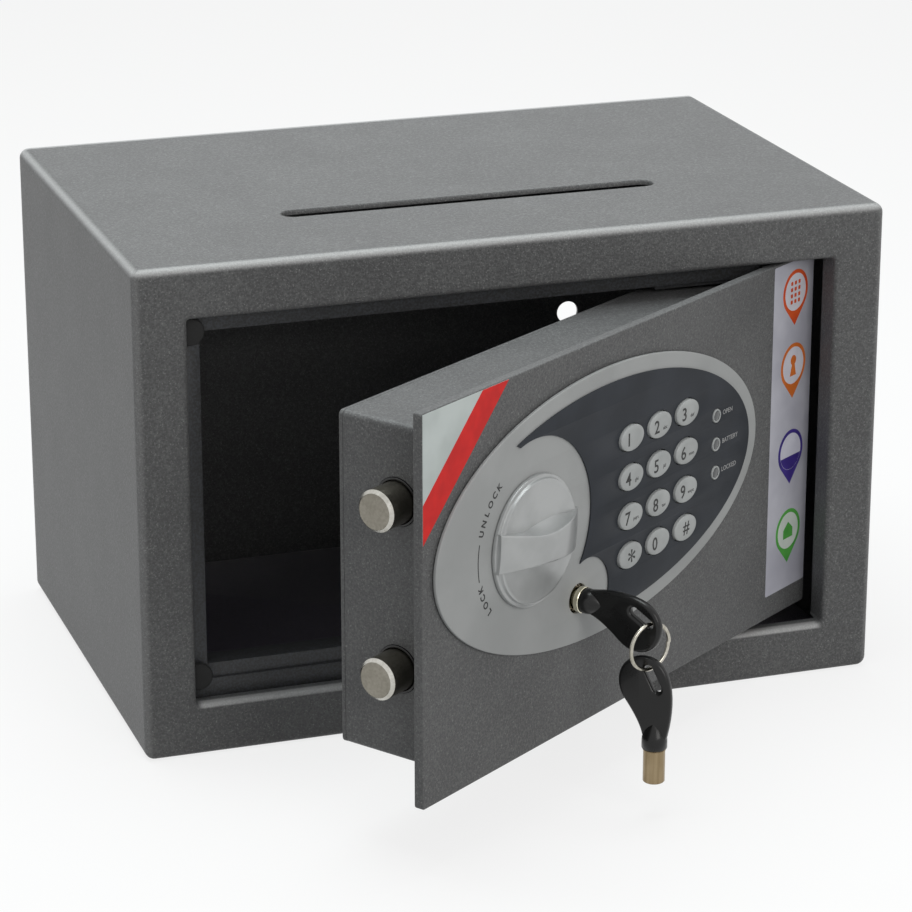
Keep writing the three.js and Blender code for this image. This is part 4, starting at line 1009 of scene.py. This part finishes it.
def around_knob(text, start, stride):
    """Letters set one by one round the knob from an angle, their tops outwards."""
    parts = []
    for index, letter in enumerate(text):
        degrees = start - index * stride
        x = knob_x + mark_radius * math.cos(math.radians(degrees))
        z = knob_z + mark_radius * math.sin(math.radians(degrees))
        parts.append(printed(letter, letter_tall, x, z, fascia_front, degrees - 90, letter_weight))
    return parts


line = np.concatenate([
    arc(knob_x, knob_z, mark_radius + line_half, line_start, line_end, 24),
    arc(knob_x, knob_z, mark_radius - line_half, line_end, line_start, 24),
])
door_piece("knob_marks", [
    standing([line], 0.06, fascia_front + 0.02),
    *around_knob("UNLOCK", 160, 6.5),
    *around_knob("LOCK", 217.4, 6.6),
], dark_ink, "door", "fascia_grey")


# ---- Bolts ----
# Two round bars of turned and polished steel with a chamfered end, running in black
# plastic bushes in the side of the pan. Their steel is darker than bare steel, a painted
# dark reflection, and a pale ring laid over each chamfer is a painted highlight.
# Steel grey set darker than bare polished steel: a painted dark reflection on the end faces.
bolt_steel = metal("bolt_steel", (124, 120, 110), (142, 138, 128), 0.32, 0.0012, 0.000003)
# Painted highlight: a paler copy of the bolt steel for the thin ring over each chamfer.
painted_chamfer_highlight = metal("painted_chamfer_highlight", (176, 174, 166), (196, 194, 188), 0.24, 0.0012, 0.000002)
bush_black = moulded("bush_black", 8, 14, 0.35)
bolt_radius, bolt_length, bolt_tip, chamfer = 8.0, 33.0, -137.0, 1.2
end_radius = bolt_radius - chamfer
bolt_profile = [
    (0.4, 0.05), (end_radius - 0.6, 0), (end_radius - 0.1, 0.06), (bolt_radius - 0.2, chamfer),
    (bolt_radius, chamfer + 0.2), (bolt_radius, chamfer + 0.8), (bolt_radius, bolt_length - 0.4),
    (bolt_radius - 0.4, bolt_length), (0.4, bolt_length),
]
chamfer_profile = [
    (end_radius, 0.02), (bolt_radius, chamfer + 0.02), (bolt_radius, chamfer + 0.15),
    (bolt_radius - 0.6, chamfer), (end_radius - 0.1, 0.3),
]
bush_profile = [
    (8.3, -0.4), (8.5, -0.6), (9.0, -0.6), (9.2, -0.4), (9.1, -0.1), (9.1, 1.8), (11, 1.8), (11, 3.0),
    (9.1, 3.0), (9.1, 7), (8.3, 7),
]


def from_side(profile, steps, x, z, ring=False):
    """A profile turned about an axis that runs into the door from its side, from x on."""
    return skin(turned(profile, steps)[..., [2, 0, 1]] + (x, bolt_y, z), ring)


for name, z in zip(("upper", "lower"), bolt_places):
    door_piece(f"{name}_bolt", [from_side(bolt_profile, 72, bolt_tip, z)],
               bolt_steel, "bolts", "bolt_steel", f"bolt_{name}")
    # Thin pale ring over the chamfer: a painted highlight.
    door_piece(f"{name}_chamfer", [from_side(chamfer_profile, 72, bolt_tip, z, ring=True)],
               painted_chamfer_highlight, "bolts", "bolt_steel", sharp=20)
    door_piece(f"{name}_bush", [from_side(bush_profile, 64, pan_left, z, ring=True)],
               bush_black, "door", "black_plastic", f"bolt_bush_{name}")


# ---- Keys of the override lock ----
# A tubular key of nickel-plated brass with a black moulded bow stands in the lock. A
# split ring through its eye carries the spare key, which hangs down.
bow_thickness, tube_radius = 3.4, 4.2
bow_neck, bow_tip, bow_heel = (4, 4.6), (37, -2.59), (18.5, -12.21)
eye_end = np.array([32.0, -2.6])
bow_material = surface(
    "glossy_black", 10, 22, (0.006, 3), (0.22, 0.14), None,
    relief=(0.0008, 3), depth=0.00001, Specular_IOR_Level=0.3, Coat_Weight=0.1,
)


def bezier(*corners, steps=14):
    """Points of a cubic curve through its first and last corner."""
    t = np.linspace(0, 1, steps + 1)[:, None]
    a, b, c, d = np.asarray(corners, float)
    return (1 - t) ** 3 * a + 3 * t * (1 - t) ** 2 * b + 3 * t * t * (1 - t) * c + t ** 3 * d


def bow_outline():
    """The bow from its neck, on the key's length: cubic curves over the back to the tip,
    round the heel and back to the neck."""
    over = bezier(bow_neck, (16.65, 8.14), (35.15, 8.88), bow_tip)
    under = bezier(bow_tip, (38.11, -13.32), (26.64, -18.5), bow_heel)
    back_up = bezier(bow_heel, (13, -7.9), (8, -5.0), (bow_neck[0], -bow_neck[1]))
    return np.concatenate([over, under[1:], back_up[1:]])


def eye_hole(length, half, degrees, place):
    """Slot with round ends, its far end at place, sloping down from there."""
    shape = np.concatenate([arc(0, 0, half, -90, 90, 10), arc(-length, 0, half, 90, 270, 10)])
    return spun(shape, math.radians(degrees)) + place


def bow_parts(seat):
    """Moulded bow with its eye, and the round collar that tapers into it: the collar's
    section is a circle at the tube and a flat oval where it ends."""
    outlines = [bow_outline(), eye_hole(7.6, 1.8, -28, eye_end)]
    blade, blade_faces = flat_sheet(outlines, bow_thickness, 1.3, 4)
    blade = blade - (0, 0, bow_thickness / 2)
    along = np.array([seat, seat + 0.1, seat + 0.4, 4.0, 5.2, 6.4, 7.6, 8.8, 9.8, 10.5, 10.9])
    wide = np.array([4.2, 4.6, 4.9, 4.9, 4.8, 4.4, 3.8, 3.0, 2.0, 1.0, 0.3])
    deep = np.array([4.2, 4.6, 4.9, 4.9, 4.7, 4.2, 3.5, 2.7, 2.1, 1.7, 1.5])
    turn = np.linspace(0, 2 * np.pi, 40, endpoint=False)
    collar = joined(along[:, None], wide[:, None] * np.cos(turn), deep[:, None] * np.sin(turn))
    return [(blade, blade_faces), skin(collar)]


def tube_parts(shown, collar, seat):
    """Tube with its bore and the collar that stops it against the lock: along the key's
    length, from its cut end to inside the bow."""
    outside, inside, end = tube_radius, tube_radius - 1.2, 3.0
    profile = [
        (inside, -shown + 0.25), (inside + 0.25, -shown), (outside - 0.3, -shown),
        (outside, -shown + 0.35), (outside, 0.05), (collar - 0.2, 0.05), (collar, 0.25),
        (collar, seat - 0.2), (collar - 0.2, seat), (outside, seat), (outside, end), (inside, end),
    ]
    return [skin(turned(profile, 56)[..., [2, 0, 1]], ring=True)]


def laid(parts, place):
    return [(place(points), faces) for points, faces in parts]


bow_start = fascia_front - 0.8
ring_y, ring_z = bow_start - eye_end[0], lock_z + eye_end[1]
ring_radius, spare_lean = 9.1, math.radians(9)


def in_lock(points):
    """Key drawn as (along, across, through) set straight out of the lock."""
    return points[:, [2, 0, 1]] * (-1, -1, 1) + (lock_x, bow_start, lock_z)


def hanging(points):
    """Spare key hung by its eye from the ring, turned a little about the upright."""
    hung = (points - (*eye_end, 0))[:, [2, 1, 0]] * (1, -1, 1)
    return spun(hung, spare_lean) + (lock_x, ring_y, ring_z - 2 * ring_radius)


key_metal = metal("key_nickel", (126, 109, 82), (156, 139, 111), 0.24, 0.0012, 0.000003, (1, 1, 0.06))
# The lock key's tube: nickel lightened towards white, partly a painted highlight.
lock_key_highlight_metal = metal("key_nickel_painted_highlight", (212, 206, 182), (236, 231, 212), 0.16, 0.002, 0.000003)
for name, body, place, shown, collar, seat, tube_metal, bow_node, tube_node in [
    ("lock_key", "key", in_lock, 9.6, 5.1, 2.2, lock_key_highlight_metal, "key_bow", "key_tube"),
    ("spare_key", "spare", hanging, 13.0, 4.5, 0.6, key_metal, "spare_key_bow", "spare_key_tube"),
]:
    door_piece(f"{name}_bow", laid(bow_parts(seat), place),
               bow_material, body, "black_plastic", bow_node, sharp=45)
    door_piece(f"{name}_tube", laid(tube_parts(shown, collar, seat), place),
               tube_metal, body, "nickel", tube_node)


# ---- Split ring ----
# Flat spring steel wire wound twice round, its turns pressed together, and bright plated.
# It is threaded through the eyes of both keys.
def wound(radius, wire, turns=2, steps=220, around=14):
    """An oval section, wire high and 1.6 wire wide from its middle, carried along a helix
    that climbs 0.95 wire a turn."""
    t = np.linspace(0, 1, steps)[:, None]
    angle = t * turns * 2 * np.pi
    turn = np.linspace(0, 2 * np.pi, around, endpoint=False)
    out = radius + 1.6 * wire * np.cos(turn)
    climb = 0.95 * wire * turns * (t - 0.5) + wire * np.sin(turn)
    return joined(out * np.cos(angle), climb, out * np.sin(angle))


ring_wire, ring_turn = 0.45, math.radians(-16)
points, faces = skin(wound(ring_radius, ring_wire))
points = spun(points, ring_turn) + (lock_x, ring_y, ring_z - ring_radius)
ring_metal = metal("ring_plate", (158, 154, 142), (196, 192, 182), 0.14, 0.0016, 0.000002)
door_piece("split_ring", [(points, faces)], ring_metal, "ring", "nickel", "key_ring", sharp=60)


# ---- Stickers ----
# A silver triangle with a red band in the plate's upper corner, and a silver strip with
# four coloured pins down its hinge side. Each pin holds a plain sign and no words.
foil_material = surface(
    "silver_foil", (186, 194, 192), (204, 212, 210), (0.02, 3), (0.4, 0.1), Metallic=0.25,
)
strip_material = surface(
    "strip_foil", (178, 178, 190), (204, 204, 214), (0.03, 3), (0.42, 0.1), Metallic=0.1,
)
foil_thickness, print_thickness, face_thickness, sign_thickness = 0.1, 0.04, 0.03, 0.05
sticker_back = plate_front + 0.01
print_back = sticker_back - foil_thickness


def print_colour(name, dark, light):
    return surface(name, dark, light, (0.008, 2), (0.4, 0.08), Specular_IOR_Level=0.25)


def sticker(name, outlines, thickness, material, y):
    door_piece(name, [standing(outlines, thickness, y)], material, "door", "film")


corner_x, corner_z, leg_x, leg_z, band_share = plate_left + 0.4, plate_high - 0.4, 51.5, 49.0, 0.31
triangle = np.array([(corner_x, corner_z), (corner_x, corner_z - leg_z), (corner_x + leg_x, corner_z)])
inner_low = (corner_x, corner_z - leg_z * (1 - band_share))
inner_high = (corner_x + leg_x * (1 - band_share), corner_z)
sticker("corner_sticker", [triangle], foil_thickness, foil_material, sticker_back)
band = np.array([triangle[1], triangle[2], inner_high, inner_low])
red_print = print_colour("red_print", (216, 28, 26), (234, 38, 34))
sticker("corner_band", [band], print_thickness, red_print, print_back)

strip = (100.5, 130.2, 36, 176.9)
sticker("strip_sticker", [loop(strip, 0.8, 3, 0.2)], foil_thickness, strip_material, sticker_back)
pin_x, pin_radius, pin_drop, pin_rim = 116.7, 9.4, 14.0, 1.6
keypad_dots = [
    loop((x - 0.8, x + 0.8, z - 0.8, z + 0.8), 0.3, 2, 0.1)
    for x in (-2.8, 0, 2.8) for z in (-3.9, -1.3, 1.3, 3.9)
]
keyhole = [np.concatenate([arc(0, 2.2, 2.1, -60, 240, 20), [(-2.4, -4.4), (2.4, -4.4)]])]
filled_foot = [arc(0, 0, pin_radius - pin_rim - 0.1, 195, 345, 24)]
house = [np.array([(-3.6, -3.2), (3.6, -3.2), (3.6, 0.6), (0, 3.8), (-3.6, 0.6)])]


def pin_outline(z):
    """A map pin: a circle that runs straight to a point below it."""
    return np.concatenate([arc(pin_x, z, pin_radius, -42, 222, 48), [(pin_x, z - pin_drop)]])


for index, (z, picture, rim_colours, face_colours) in enumerate([
    (163.6, keypad_dots, ((206, 74, 34), (222, 92, 44)), ((216, 214, 222), (226, 224, 232))),
    (132.5, keyhole, ((206, 108, 44), (222, 122, 56)), ((214, 212, 222), (224, 222, 232))),
    (95.5, filled_foot, ((58, 44, 122), (72, 56, 140)), ((208, 208, 222), (220, 220, 232))),
    (60.9, house, ((74, 152, 66), (92, 172, 78)), ((204, 214, 206), (216, 224, 216))),
]):
    name, face = f"pin_{index + 1}", circle(pin_x, z, pin_radius - pin_rim)
    rim_print = print_colour(f"{name}_colour", *rim_colours)
    sticker(f"{name}_rim", [pin_outline(z), face], print_thickness, rim_print, print_back)
    face_print = print_colour(f"{name}_pale", *face_colours)
    sticker(f"{name}_face", [face], face_thickness, face_print, print_back)
    signs = [standing([shape + (pin_x, z)], sign_thickness, print_back) for shape in picture]
    door_piece(f"{name}_picture", signs, rim_print, "door", "film")
